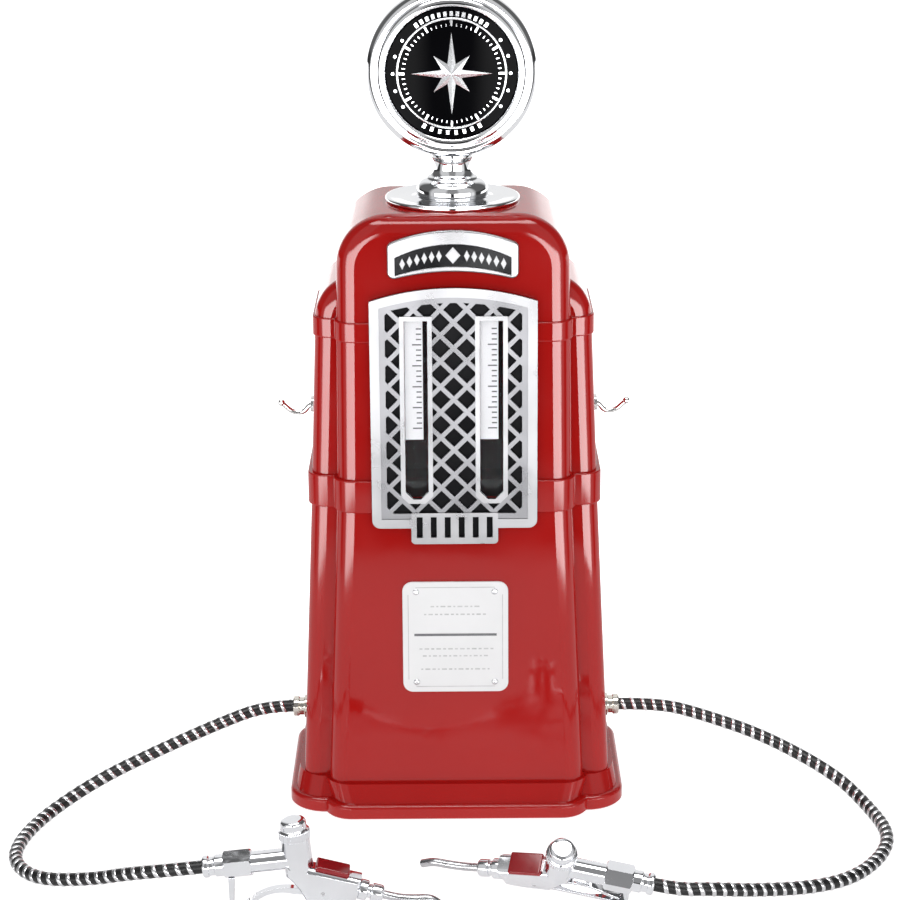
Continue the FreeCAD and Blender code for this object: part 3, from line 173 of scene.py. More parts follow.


# %% [markdown]
# ## Hoses
# Each hose is a fixed length of soft tube that leaves the cabinet level, sags to the table, turns
# round in front and lifts into its nozzle. Straight runs joined by arcs would look like bent wire.
# A NURBS curve through a few listed points gives one smooth line instead. The rubber is a
# circle carried along that line.

# %% The lines of the two hoses
RUBBER_RADIUS = 3.75 * MM
LINE_STEPS = 12
HOSE_ROUTES = {
    "left": (
        (-103.5, -5.0, 46.0), (-121.7, -5.0, 46.0), (-149.2, -9.8, 37.1), (-184.8, -32.0, 28.9),
        (-220.3, -49.0, 17.6), (-249.9, -71.3, 5.4), (-262.8, -108.7, 4.4), (-262.9, -141.4, 4.3),
        (-244.1, -168.2, 6.3), (-211.6, -179.6, 11.8), (-188.3, -191.3, 21.0),
        (-165.6, -201.0, 27.5), (-143.7, -201.0, 29.8),
    ),
    "right": (
        (103.5, -5.0, 46.0), (130.8, -5.0, 46.0), (156.6, -13.3, 41.7), (193.8, -28.2, 33.7),
        (235.8, -50.5, 17.1), (253.2, -76.1, 6.5), (259.6, -115.0, 7.0), (253.0, -138.5, 4.4),
        (232.7, -167.6, 4.4), (205.3, -185.7, 6.6), (167.9, -202.3, 13.3), (142.0, -213.3, 20.0),
        (124.0, -215.1, 20.7), (110.6, -213.3, 23.0),
    ),
}


def centre_line(route):
    """Points, in metres, of the NURBS line whose control points are the route's, in millimetres."""
    data = bpy.data.curves.new("line", "CURVE")
    data.dimensions = "3D"
    spline = data.splines.new("NURBS")
    spline.points.add(len(route) - 1)
    for point, place in zip(spline.points, route):
        point.co = (*(value * MM for value in place), 1.0)
    spline.order_u = 3
    spline.use_endpoint_u = True
    data.resolution_u = LINE_STEPS
    line = bpy.data.objects.new("line", data)
    bpy.context.scene.collection.objects.link(line)
    drawn = line.evaluated_get(bpy.context.evaluated_depsgraph_get())
    shape = bpy.data.meshes.new_from_object(drawn)
    points = points_of(shape)
    bpy.data.objects.remove(line)
    bpy.data.meshes.remove(shape)
    return points


def reach_along(points):
    """Distance of each point from the line's start, measured along the line."""
    steps = np.linalg.norm(np.diff(points, axis=0), axis=1)
    return np.concatenate([[0.0], np.cumsum(steps)])


hose_lines = {side: centre_line(HOSE_ROUTES[side]) for side in SIDES}
for side in SIDES:
    print(side, "hose length mm:", round(float(reach_along(hose_lines[side])[-1] / MM), 1))

# %% Directions along a line
LOOK_STEP = 1.0 * MM


def along_line(points, distances):
    """Places at given distances along a line: each coordinate is interpolated by length."""
    reach = reach_along(points)
    return np.stack([np.interp(distances, reach, points[:, axis]) for axis in range(3)], -1)


def line_frames(points, distances):
    """Place, level side direction and upward direction at each distance.

    The tangent T runs from a small step behind to one ahead. side = Z x T and up = T x side.
    """
    tangent = along_line(points, distances + LOOK_STEP) - along_line(points, distances - LOOK_STEP)
    tangent /= np.linalg.norm(tangent, axis=-1, keepdims=True)
    side = np.cross((0.0, 0.0, 1.0), tangent)
    side /= np.linalg.norm(side, axis=-1, keepdims=True)
    return along_line(points, distances), side, np.cross(tangent, side)


# %% [markdown]
# ### The bright wire round each hose
# A flat steel wire is wound round the rubber like the stripe on a barber's pole. It could be a
# bump or a painted band, but from the side a real wire breaks the hose's outline. So it is a swept
# surface: a half-oval section that slides along the hose while it turns round it.

# %% Rubber and wire
TUBE_CORNERS = 20
TUBE_SPACING = 1.2 * MM
WIRE_PITCH = 6.6 * MM
WIRE_WIDTH = 2.7 * MM
WIRE_SEAT = 3.55 * MM
WIRE_CROWN = 0.6 * MM
WIRE_FULLNESS = 0.7
WIRE_MARGIN = 2.0 * MM
WIRE_STEPS_PER_TURN = 24
WIRE_CORNERS = 10


def tube_surface(points):
    """P(s, a) = C(s) + R (cos a side + sin a up): a circle carried along the line, end to end."""
    length = reach_along(points)[-1]
    place, side, up = line_frames(points, np.linspace(0.0, length, int(length / TUBE_SPACING)))
    a = full_turn(TUBE_CORNERS)[None, :, None]
    ring = np.cos(a) * side[:, None] + np.sin(a) * up[:, None]
    return place[:, None] + RUBBER_RADIUS * ring


def wire_surface(points):
    """P(s, a) = C(s + w cos a) + r(a) (cos p side + sin p up), with p = 2 pi s / pitch.

    a runs once round the section, and w is half the wire's width. r is the seat's radius where
    sin a is below zero, and rises by crown (sin a)^fullness above it: a half oval.
    """
    length = reach_along(points)[-1]
    count = int((length - 2.0 * WIRE_MARGIN) / WIRE_PITCH * WIRE_STEPS_PER_TURN)
    s = np.linspace(WIRE_MARGIN, length - WIRE_MARGIN, count)
    a = full_turn(WIRE_CORNERS)
    along = s[:, None] + 0.5 * WIRE_WIDTH * np.cos(a)[None, :]
    place, side, up = line_frames(points, along)
    turn = (2.0 * np.pi * s / WIRE_PITCH)[:, None, None]
    radius = WIRE_SEAT + WIRE_CROWN * np.clip(np.sin(a), 0.0, None) ** WIRE_FULLNESS
    return place + radius[None, :, None] * (np.cos(turn) * side + np.sin(turn) * up)


# %% Lay the hoses
HOSE_SHARP_DEG = 60.0

for side in SIDES:
    hose = grid_piece("hose_tube_" + side, tube_surface(hose_lines[side]), cap_ends=True,
                      sharp_deg=HOSE_SHARP_DEG)
    stand_for(hose, "hose_" + side)
    wire = grid_piece("hose_wire_" + side, wire_surface(hose_lines[side]), cap_ends=True,
                      sharp_deg=HOSE_SHARP_DEG)
    add_to(wire, "cabinet", "hose_rubber", "hose_wire")
    print(side, "wire faces:", len(wire.data.polygons))

# %% [markdown]
# ## Turned pieces
# The head's ring, stem and flange, and the caps and sleeves of the nozzles, are turned on a lathe
# or moulded in the same form. A profile spun round an axis gives each of them. Polished metal
# never has a knife edge, and the bright line that a small rounding catches is what makes it read
# as metal, so every corner of a profile is replaced by a short curve first.

# %% Spin a profile
CORNER_STEPS = 5
CORNER_SHARE = 0.45


def soft_profile(profile, radius, closed=False):
    """Each corner P becomes Q(t) = (1 - t)^2 A + 2 t (1 - t) P + t^2 B, with A and B on its runs.

    A and B lie a radius away from P, or a share of the run's length where the run is short.
    """
    points = np.array(profile, float)
    corner = points if closed else points[1:-1]
    before = np.roll(points, 1, axis=0) if closed else points[:-2]
    after = np.roll(points, -1, axis=0) if closed else points[2:]
    ends = []
    for other in (before, after):
        way = other - corner
        reach = np.linalg.norm(way, axis=1, keepdims=True)
        ends.append(corner + way / reach * np.minimum(radius, CORNER_SHARE * reach))
    t = np.linspace(0.0, 1.0, CORNER_STEPS)[None, :, None]
    start, end = ends[0][:, None], ends[1][:, None]
    curve = (1 - t) ** 2 * start + 2 * t * (1 - t) * corner[:, None] + t ** 2 * end
    curve = curve.reshape(-1, 2)
    return curve if closed else np.concatenate([points[:1], curve, points[-1:]])


def turned(name, profile, centre, axes, soft=0.5, around=96, closed=False, ribs=(0, 0.0, 0.0)):
    """P(u, t) = centre + r (cos u first + sin u second) + h third, in millimetres.

    ribs are (count, depth, least radius): where r is larger than the least radius, it sinks by
    depth (1 - cos(count u)) / 2.
    """
    line = soft_profile(profile, soft, closed)
    count, depth, least = ribs
    u = full_turn(around)
    wave = 0.5 * depth * (1.0 - np.cos(count * u))
    radius = line[:, :1] - np.where(line[:, :1] > least, wave[None, :], 0.0)
    ring = np.cos(u)[:, None] * axes[0] + np.sin(u)[:, None] * axes[1]
    points = np.asarray(centre) + radius[..., None] * ring[None] + line[:, None, 1:] * axes[2]
    return grid_piece(name, points * MM, loop_rows=closed, cap_ends=not closed)


# %% Flange and stem of the head
WORLD_AXES = np.eye(3)
HEAD_Y = -7.0
FLANGE_PROFILE = (
    (30.7, 373.5), (30.7, 367.5), (32.7, 367.5), (32.7, 373.5), (39.4, 373.5), (40.4, 374.3),
    (40.4, 375.9), (39.2, 376.7), (36.4, 376.3), (31.0, 375.6), (25.0, 375.5), (23.0, 376.0),
    (21.8, 376.5),
)
STEM_PROFILE = (
    (20.4, 376.0), (21.6, 376.9), (21.6, 379.5), (21.3, 381.7), (20.2, 383.8), (18.2, 385.6),
    (15.6, 386.8), (15.2, 387.8), (13.2, 388.9), (12.0, 390.6), (11.4, 392.8), (11.4, 395.6),
    (12.0, 398.2), (13.3, 399.9), (13.4, 401.6),
)
head_foot = (0.0, HEAD_Y, 0.0)
flange = turned("head_flange", FLANGE_PROFILE, head_foot, WORLD_AXES, soft=0.7, around=128)
stand_for(flange, "top_flange")
stand_for(turned("head_stem", STEM_PROFILE, head_foot, WORLD_AXES, soft=1.4), "globe_stem")
print("flange faces:", len(flange.data.polygons))

# %% [markdown]
# ### The globe's ring
# The ring is two plated shells, front and rear, each with a fat rolled edge, a groove and a second
# bead that holds the face. The profile runs in a loop, so each shell is one closed skin, like a
# tyre.

# %% Two rings back to back
GLOBE_Z = 451.0
RING_PROFILE = (
    (37.2, 0.0), (50.9, 0.0), (50.9, 5.2), (50.2, 9.0), (48.4, 11.6), (46.4, 12.7), (45.2, 12.2),
    (44.4, 12.4), (43.6, 14.0), (42.2, 15.1), (40.4, 15.3), (39.0, 14.4), (38.5, 12.9),
    (37.2, 12.4),
)
globe_centre = (0.0, HEAD_Y, GLOBE_Z)
FRONT_AXES = np.array([[1.0, 0.0, 0.0], [0.0, 0.0, 1.0], [0.0, -1.0, 0.0]])
REAR_AXES = FRONT_AXES * (1.0, -1.0, 1.0)
for end, axes in (("front", FRONT_AXES), ("rear", REAR_AXES)):
    ring = turned("globe_ring_" + end, RING_PROFILE, globe_centre, axes, soft=1.3, around=160,
                  closed=True)
    stand_for(ring, "globe_bezel_" + end)
    print(end, "ring faces:", len(ring.data.polygons))

# %% [markdown]
# ## Thin raised marks
# Printed or stamped marks, such as ticks, studs and rules, are many small plates on one surface. A
# picture would do it, but plates have edges that catch light. Outlines in a plane are carried to
# the surface by a small map from (across, up, height) to space, and each plate is closed all
# round.

# %% Plates from outlines
MARK_SHARP_DEG = 30.0


def plates(name, outlines, to_space, low, high, taper=1.0):
    """Closed plates: the lower ring is map(q, low), the upper one map(c + taper (q - c), high)."""
    outlines = np.asarray(outlines, float)
    x, y = outlines[..., 0], outlines[..., 1]
    area = (x * np.roll(y, -1, axis=1) - y * np.roll(x, -1, axis=1)).sum(axis=1)
    outlines = np.where((area < 0.0)[:, None, None], outlines[:, ::-1], outlines)
    count, corners, _ = outlines.shape
    centre = outlines.mean(axis=1, keepdims=True)
    upper = centre + taper * (outlines - centre)
    points = np.concatenate([to_space(outlines, low), to_space(upper, high)], axis=1)
    k = np.arange(corners)
    ahead = (k + 1) % corners
    first = np.arange(count)[:, None, None] * 2 * corners
    walls = np.stack([k, ahead, ahead + corners, k + corners], -1)[None] + first
    faces = walls.reshape(-1, 4).tolist()
    faces += (k[::-1][None] + first[:, 0]).tolist()
    faces += ((k + corners)[None] + first[:, 0]).tolist()
    mesh = bpy.data.meshes.new(name)
    mesh.from_pydata((points * MM).reshape(-1, 3).tolist(), [], faces)
    finish_mesh(mesh, MARK_SHARP_DEG)
    return make_object(name, mesh)


# %% Outlines of bars and discs
DISC_CORNERS = 14


def bars(places, half_width, half_height, turn_deg=0.0):
    """Bars about places (n, 2): corners at +-half_width, +-half_height, turned by an angle."""
    places = np.asarray(places, float).reshape(-1, 2)
    turn = np.radians(np.broadcast_to(turn_deg, len(places)))[:, None]
    wide = np.broadcast_to(half_width, len(places))[:, None] * np.array([[-1.0, 1.0, 1.0, -1.0]])
    tall = np.broadcast_to(half_height, len(places))[:, None] * np.array([[-1.0, -1.0, 1.0, 1.0]])
    x = places[:, :1] + wide * np.cos(turn) - tall * np.sin(turn)
    y = places[:, 1:] + wide * np.sin(turn) + tall * np.cos(turn)
    return np.stack([x, y], -1)


def discs(places, radius):
    """Discs: place + radius (cos a, sin a)."""
    a = full_turn(DISC_CORNERS)
    rim = np.stack([np.cos(a), np.sin(a)], -1)
    return np.asarray(places, float)[:, None] + radius * rim[None]


def clock(radius, degrees):
    """Places on a circle at angles measured clockwise from the top."""
    a = np.radians(np.asarray(degrees, float))
    return np.stack([radius * np.sin(a), radius * np.cos(a)], -1)


def radial_bars(radius, degrees, half_width, half_height):
    """Bars on a circle, each one turned to point at the circle's centre."""
    return bars(clock(radius, degrees), half_width, half_height, -degrees)


# %% [markdown]
# ### The face of the globe
# The face is a slightly domed black disc under a clear coat, with a raised silver device in its
# middle. Here that is a plain compass star of eight points, with a ring of ticks round it and a
# few studs at both sides. Each point of the star has a ridge, so its two halves catch different
# light.

# %% The star
FACE_SEAT = 13.6
FACE_CROWN = 2.4
FACE_SPHERE = 305.2
FACE_HOME = ("head", "head_chrome", "face_silver")
STAR_CORNERS = 16
STAR_RADII = {"long": 24.0, "short": 15.0, "valley": 6.2}
STAR_FOOT, STAR_EDGE, STAR_PEAK = -0.6, 0.35, 2.6
STAR_TIP_SHARE = 0.01


def on_face(spots, height):
    """Map to the dome: y = -(seat + crown - R + sqrt(R^2 - r^2) + height) from the head's plane."""
    reach = np.linalg.norm(spots, axis=-1)
    dome = FACE_SEAT + FACE_CROWN - (FACE_SPHERE - np.sqrt(FACE_SPHERE ** 2 - reach ** 2))
    return np.stack([spots[..., 0], HEAD_Y - dome - height, GLOBE_Z + spots[..., 1]], -1)


def star_surface():
    """Rings of a star: long and short tips by turns, valleys between them, one peak above all."""
    corner = np.arange(STAR_CORNERS)
    tips = np.where(corner % 4 == 0, STAR_RADII["long"], STAR_RADII["short"])
    reach = np.where(corner % 2 == 1, STAR_RADII["valley"], tips)
    rim = clock(1.0, corner * 360.0 / STAR_CORNERS) * reach[:, None]
    rows = [on_face(rim, STAR_FOOT), on_face(rim, STAR_EDGE),
            on_face(rim * STAR_TIP_SHARE, STAR_PEAK)]
    return np.stack(rows) * MM


star = grid_piece("face_star", star_surface(), cap_ends=True, sharp_deg=3.0)
add_to(star, *FACE_HOME)
print("star faces:", len(star.data.polygons))

# %% Ticks, studs and blocks round the star
FACE_MARK_FOOT = -0.4
fine_deg = np.arange(0, 360, 6)
hour_deg = np.arange(0, 360, 30)
stud_deg = np.concatenate([np.arange(56, 125, 17), np.arange(236, 305, 17)])
block_deg = np.concatenate([np.arange(-36, 37, 6), np.arange(152, 209, 8)])
ticks = np.concatenate([
    radial_bars(28.4, fine_deg, half_width=0.35, half_height=1.0),
    radial_bars(29.4, hour_deg, half_width=0.75, half_height=2.0),
])
studs = discs(clock(34.6, stud_deg), radius=1.5)
blocks = radial_bars(34.8, block_deg, half_width=1.25, half_height=1.7)
for name, outlines, height, taper in (("face_ticks", ticks, 0.35, 0.85),
                                      ("face_studs", studs, 0.8, 0.6),
                                      ("face_blocks", blocks, 0.5, 0.8)):
    add_to(plates(name, outlines, on_face, FACE_MARK_FOOT, height, taper), *FACE_HOME)

FACE_LINE = ((31.4, 14.9), (32.0, 15.2), (32.6, 14.8), (32.6, 13.4), (31.4, 13.4))
face_line = turned("face_line", FACE_LINE, globe_centre, FRONT_AXES, soft=0.2, closed=True)
add_to(face_line, *FACE_HOME)
print("marks on the face:", len(ticks) + len(studs) + len(blocks))

# %% [markdown]
# ### Marks on the front
# The name strip carries no name: a row of white lozenges fills it. They follow the strip's bow,
# which drops towards both ends as a parabola does.

# %% Lozenges on the name strip
NAME_Y = -61.1
NAME_MID_Z = 351.0
NAME_BOW = 6.6 / 34.0 ** 2
LOZENGE_END, LOZENGE_GAP, LOZENGE_STEP = 29.6, 6.0, 4.3
MIDDLE_LOZENGE = (4.6, 5.2)
SMALL_LOZENGE = (1.75, 3.6)
DIAMOND = np.array([[-1.0, 0.0], [0.0, -1.0], [1.0, 0.0], [0.0, 1.0]])


def upright_face(y):
    """Map to an upright plane that faces the front: x = across, z = up, y = plane - height."""
    def to_space(spots, height):
        return np.stack([spots[..., 0], np.full(spots.shape[:-1], y - height), spots[..., 1]], -1)
    return to_space


half_row = np.arange(LOZENGE_END, LOZENGE_GAP, -LOZENGE_STEP)
lozenge_x = np.concatenate([-half_row, [0.0], half_row])
lozenge_mid = np.stack([lozenge_x, NAME_MID_Z - NAME_BOW * lozenge_x ** 2], -1)
lozenge_half = np.where((lozenge_x == 0.0)[:, None], MIDDLE_LOZENGE, SMALL_LOZENGE)
lozenges = lozenge_mid[:, None] + DIAMOND[None] * lozenge_half[:, None]
add_to(plates("name_lozenges", lozenges, upright_face(NAME_Y), low=-0.1, high=0.35, taper=0.8),
       "cabinet", "scale_white", "mark_white")
print("lozenges:", len(lozenges))

# %% [markdown]
# The level strips have plain ticks for their scale. They line up at the strip's right-hand side,
# and every fourth one is longer.

# %% Ticks on the level strips
SCALE_Y = -59.8
WINDOW_X = 22.3
TICKS_LOW, TICKS_HIGH, TICK_STEP = 246.0, 310.0, 3.2
LONG_TICK_EVERY = 4
LONG_SHIFT, SHORT_SHIFT = 0.6, 1.7
LONG_HALF, SHORT_HALF = 2.7, 1.5
TICK_HALF_HEIGHT = 0.38

tick_z = np.arange(TICKS_LOW, TICKS_HIGH, TICK_STEP)
is_long = np.arange(len(tick_z)) % LONG_TICK_EVERY == 0
for side, sign in zip(SIDES, (-1.0, 1.0)):
    tick_x = sign * WINDOW_X + np.where(is_long, LONG_SHIFT, SHORT_SHIFT)
    marks = bars(np.stack([tick_x, tick_z], -1), np.where(is_long, LONG_HALF, SHORT_HALF),
                 TICK_HALF_HEIGHT)
    add_to(plates("scale_ticks_" + side, marks, upright_face(SCALE_Y), low=-0.1, high=0.12),
           "cabinet", "scale_white", "mark_grey")
print("ticks on each strip:", len(tick_z))

# %% [markdown]
# The riveted plate has a thin border, one rule and faint rows of short strokes, which stand for
# engraving seen from a few steps away. The plate leans back with the cabinet's lower wall, so its
# marks are carried along the same lean.

# %% Border, rule and strokes of the plate
PLATE_MID = (-63.12, 115.0)
PLATE_LEAN = math.atan2(8.3, 204.0)
PLATE_FACE = 1.4
PLATE_MARK_FOOT = -0.2
STROKE_GAP = 1.3
STROKE_HALF_HEIGHT = 0.42
STROKE_ROWS = (
    (19.5, 15.0, (2.2, 1.2, 3.0)), (14.5, 19.0, (1.4, 2.6, 1.8)), (-7.5, 22.0, (1.8, 2.8)),
    (-12.0, 20.0, (2.4, 1.2)), (-20.5, 21.0, (1.2, 3.0, 2.0)),
)


def on_plate(spots, height):
    """Map to the leaning plate: height is taken from its face, square to it."""
    out = PLATE_FACE + height
    y = PLATE_MID[0] - out * math.cos(PLATE_LEAN) + spots[..., 1] * math.sin(PLATE_LEAN)
    z = PLATE_MID[1] + out * math.sin(PLATE_LEAN) + spots[..., 1] * math.cos(PLATE_LEAN)
    return np.stack([spots[..., 0], y, z], -1)


def stroke_row(height, reach, widths):
    """Middle, height and half width of the strokes from -reach to reach; the widths repeat."""
    row = []
    x = -reach
    while x < reach:
        width = widths[len(row) % len(widths)]
        row.append((x + 0.5 * width, height, 0.5 * width))
        x += width + STROKE_GAP
    return row


upright_bars = bars([(-28.6, 0.0), (28.6, 0.0)], half_width=0.22, half_height=27.0)
level_bars = bars([(0.0, 31.6), (0.0, -31.6)], half_width=24.0, half_height=0.22)
rule = bars([(0.0, 1.5)], half_width=25.0, half_height=0.75)
strokes = np.array([stroke for row in STROKE_ROWS for stroke in stroke_row(*row)])
stroke_bars = bars(strokes[:, :2], strokes[:, 2], STROKE_HALF_HEIGHT)
for name, outlines, height, paint in (
        ("plate_border", np.concatenate([level_bars, upright_bars]), 0.1, "mark_pale"),
        ("plate_strokes", stroke_bars, 0.08, "mark_pale"),
        ("plate_rule", rule, 0.12, "mark_grey")):
    add_to(plates(name, outlines, on_plate, PLATE_MARK_FOOT, height), "cabinet", "plate_silver",
           paint)
print("plate strokes:", len(strokes))

# %% [markdown]
# ## Castings with softened edges
# The grille, the trims and the nozzles are plated castings. Their solids are right but their edges
# are knife sharp. A copy of each is cleaned up, so that its flat faces are whole again, and a
# bevel of a fraction of a millimetre goes on every real edge. Keeping the solid would be simpler,
# but then no edge would catch the light.

# %% Soften copies of the solids
MERGE_WITHIN = 0.002 * MM
FLAT_DEG = 0.6
EDGE_DEG = 32.0


def merged_copy(name, node, join_flats=True):
    """Copy of a node's mesh: corners of its loose triangles merged, its flat triangles joined."""
    mesh = NODES[node].data.copy()
    mesh.name = name
    mesh.materials.clear()
    if "custom_normal" in mesh.attributes:
        mesh.attributes.remove(mesh.attributes["custom_normal"])
    shape = bmesh.new()
    shape.from_mesh(mesh)
    bmesh.ops.remove_doubles(shape, verts=shape.verts, dist=MERGE_WITHIN)
    if join_flats:
        bmesh.ops.dissolve_limit(shape, angle_limit=math.radians(FLAT_DEG), verts=shape.verts,
                                 edges=shape.edges)
    shape.to_mesh(mesh)
    shape.free()
    mesh.shade_smooth()
    mesh.set_sharp_from_angle(angle=math.radians(EDGE_DEG))
    return mesh


def softened(name, node, width, segments=2):
    """Copy of a node with a rounded bevel on its sharp edges."""
    piece = make_object(name, merged_copy(name, node))
    bevel = piece.modifiers.new("edge", "BEVEL")
    bevel.width = width * MM
    bevel.segments = segments
    bevel.limit_method = "ANGLE"
    bevel.angle_limit = math.radians(EDGE_DEG)
    bevel.harden_normals = True
    stand_for(piece, node)


softened("front_grille", "grille", 0.4)
softened("name_frame", "name_plate", 0.5)
softened("plate_sheet", "instruction_plate", 0.3)
for side in SIDES:
    softened("nozzle_casting_" + side, "nozzle_body_" + side, 0.6, 3)
    softened("finger_guard_" + side, "trigger_guard_" + side, 0.6, 3)
    softened("finger_lever_" + side, "trigger_" + side, 0.5, 3)
    softened("red_saddle_" + side, "nozzle_cover_" + side, 0.3)
print("pieces so far:", len(extra_pieces))

# %% [markdown]
# ### Caps and sleeves of the nozzles
# Each nozzle has its own frame: forward along the barrel, sideways, and up the bonnet. The cap is
# knurled so that fingers can turn it, and a knurl is simply a turned surface whose radius ripples.

# %% The frame of each nozzle
NOZZLE_PLACES = {
    "left": ((-90.0, -201.0, 35.4), (0.0, -6.0, 0.0)),
    "right": ((57.8, -206.3, 32.0), (172.4, -9.6, -41.2)),
}


def nozzle_frame(side):
    """A nozzle's origin, and its forward, side and up directions as rows.

    It is rolled about its barrel first, then its nose is tipped, and then it turns about Z.
    """
    place, (turn, nose, roll) = NOZZLE_PLACES[side]
    rotation = (Matrix.Rotation(math.radians(turn), 3, "Z")
                @ Matrix.Rotation(math.radians(nose), 3, "Y")
                @ Matrix.Rotation(math.radians(roll), 3, "X"))
    return np.array(place), np.array(rotation).T


print("nozzle frames:", {side: nozzle_frame(side)[0].tolist() for side in SIDES})

# %% Turn the nozzles' small pieces
NOSE_END = (31.8, -23.2)
NOSE_DIP_DEG = 21.0
CAP_RIBS = (36, 0.5, 8.6)
CAP_PROFILE = (
    (7.4, 12.1), (8.9, 12.1), (8.9, 17.1), (7.5, 17.9), (7.3, 18.4), (7.3, 22.4), (6.4, 23.5),
    (4.8, 23.95), (3.2, 24.0),
)
SLEEVE_PROFILE = (
    (5.6, -54.0), (6.3, -53.2), (6.3, -50.8), (5.4, -50.2), (5.4, -47.4), (6.3, -46.8),
    (6.3, -42.0),
)
COLLAR_PROFILE = (
    (5.2, 0.0), (5.9, 0.5), (5.9, 4.8), (5.2, 5.3), (4.0, 5.4), (4.0, 7.3), (4.8, 7.5), (5.1, 8.0),
    (5.1, 13.1), (4.5, 13.9), (3.4, 14.5), (2.6, 14.5),
)

for side in SIDES:
    origin, (forward, across, up) = nozzle_frame(side)
    dip_angle = math.radians(NOSE_DIP_DEG)
    out = forward * math.cos(dip_angle) - up * math.sin(dip_angle)
    lift = forward * math.sin(dip_angle) + up * math.cos(dip_angle)
    nose = origin + NOSE_END[0] * forward + NOSE_END[1] * up
    cap = turned("cap_" + side, CAP_PROFILE, origin, np.array([forward, across, up]), soft=0.5,
                 around=180, ribs=CAP_RIBS)
    stand_for(cap, "bonnet_cap_" + side)
    sleeve = turned("sleeve_" + side, SLEEVE_PROFILE, origin, np.array([across, up, forward]),
                    soft=0.4, around=64)
    stand_for(sleeve, "hose_ferrule_" + side)
    collar = turned("collar_" + side, COLLAR_PROFILE, nose, np.array([across, lift, out]),
                    soft=0.4, around=64)
    stand_for(collar, "spout_collar_" + side)
    print(side, "cap faces:", len(cap.data.polygons))

# %% [markdown]
# ### Return springs
# A trigger lifts the valve's stem against a spring that rests under the roof of the cap. A stiff
# copy of the spring would be cut by the rising stem. Each spring here is still such a stiff copy,
# merged, that stays with the nozzle; it does not shorten.

for side in SIDES:
    name = "return_spring_" + side
    spring = make_object(name, merged_copy(name, "valve_spring_" + side, join_flats=False))
    stand_for(spring, "valve_spring_" + side)
    points = points_of(spring.data)
    up = nozzle_frame(side)[1][2]
    heights = points @ up
    points[heights.argmax()].tolist()
    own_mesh(spring)

# %% [markdown]
# ## Shared effects
# No real surface is one even colour. Four small node groups carry what the finishes share: an
# uneven shade, smudges that change the gloss, a fine ripple that bends reflections, and lines of
# brushing. Each gives out only a colour, a value or a normal, so every finish keeps its own
# shader. Short helpers come first, for the few kinds of node that all of them need.

# %% Helpers for nodes
# A mix node has sockets for every kind. These are first, second and result, by their numbers.
MIX_SOCKETS = {"FLOAT": (2, 3, 0), "RGBA": (6, 7, 2)}


def feed(tree, socket, value):
    """Link a socket to another socket, or set it to a plain value."""
    if isinstance(value, bpy.types.NodeSocket):
        tree.links.new(value, socket)
    else:
        socket.default_value = value


def calc(tree, operation, *values):
    """A math node on sockets or numbers."""
    node = tree.nodes.new("ShaderNodeMath")
    node.operation = operation
    for socket, value in zip(node.inputs, values):
        feed(tree, socket, value)
    return node.outputs[0]


def spread(tree, value, low, high, start, end, steps="LINEAR"):
    """Carry a value that runs from low to high over to start and end."""
    node = tree.nodes.new("ShaderNodeMapRange")
    node.interpolation_type = steps
    for label, given in (("Value", value), ("From Min", low), ("From Max", high),
                         ("To Min", start), ("To Max", end)):
        feed(tree, node.inputs[label], given)
    return node.outputs[0]


def mix(tree, kind, factor, first, second):
    """first + factor (second - first), on numbers or colours."""
    node = tree.nodes.new("ShaderNodeMix")
    node.data_type = kind
    first_at, second_at, result_at = MIX_SOCKETS[kind]
    feed(tree, node.inputs["Factor"], factor)
    feed(tree, node.inputs[first_at], first)
    feed(tree, node.inputs[second_at], second)
    return node.outputs[result_at]


def object_axes(tree):
    """The X, Y and Z of the Object coordinates, which are metres in the solid model's frame."""
    where = tree.nodes.new("ShaderNodeTexCoord")
    split = tree.nodes.new("ShaderNodeSeparateXYZ")
    tree.links.new(where.outputs["Object"], split.inputs[0])
    return split.outputs


# %% Noise and relief inside a group
NOISE_LOW, NOISE_HIGH = 0.32, 0.68
FLOAT, COLOUR, VECTOR = "NodeSocketFloat", "NodeSocketColor", "NodeSocketVector"


def new_group(name, inputs, outputs):
    """Empty node group, what it is given and its results; inputs are (name, kind, value)."""
    tree = bpy.data.node_groups.new(name, "ShaderNodeTree")
    for label, kind, value in inputs:
        socket = tree.interface.new_socket(label, in_out="INPUT", socket_type=kind)
        socket.default_value = value
    for label, kind in outputs:
        tree.interface.new_socket(label, in_out="OUTPUT", socket_type=kind)
    return tree, tree.nodes.new("NodeGroupInput").outputs, tree.nodes.new("NodeGroupOutput").inputs


def noise_in(tree, size, detail, stretch=None):
    """Noise on Object coordinates, which may be stretched; its scale comes from the group."""
    place = tree.nodes.new("ShaderNodeTexCoord").outputs["Object"]
    if stretch is not None:
        scale = tree.nodes.new("ShaderNodeVectorMath")
        scale.operation = "MULTIPLY"
        feed(tree, scale.inputs[0], place)
        feed(tree, scale.inputs[1], stretch)
        place = scale.outputs[0]
    noise = tree.nodes.new("ShaderNodeTexNoise")
    feed(tree, noise.inputs["Vector"], place)
    feed(tree, noise.inputs["Scale"], size)
    feed(tree, noise.inputs["Detail"], detail)
    return noise.outputs["Fac"]


def noise_range(tree, noise, low, high):
    """Spread the middle of a noise, where nearly all of it lies, over low to high."""
    return spread(tree, noise, NOISE_LOW, NOISE_HIGH, low, high)


def relief(tree, height, depth):
    """Normal of a surface that is raised by the height times the depth."""
    bump = tree.nodes.new("ShaderNodeBump")
    feed(tree, bump.inputs["Height"], height)
    feed(tree, bump.inputs["Distance"], depth)
    return bump.outputs["Normal"]


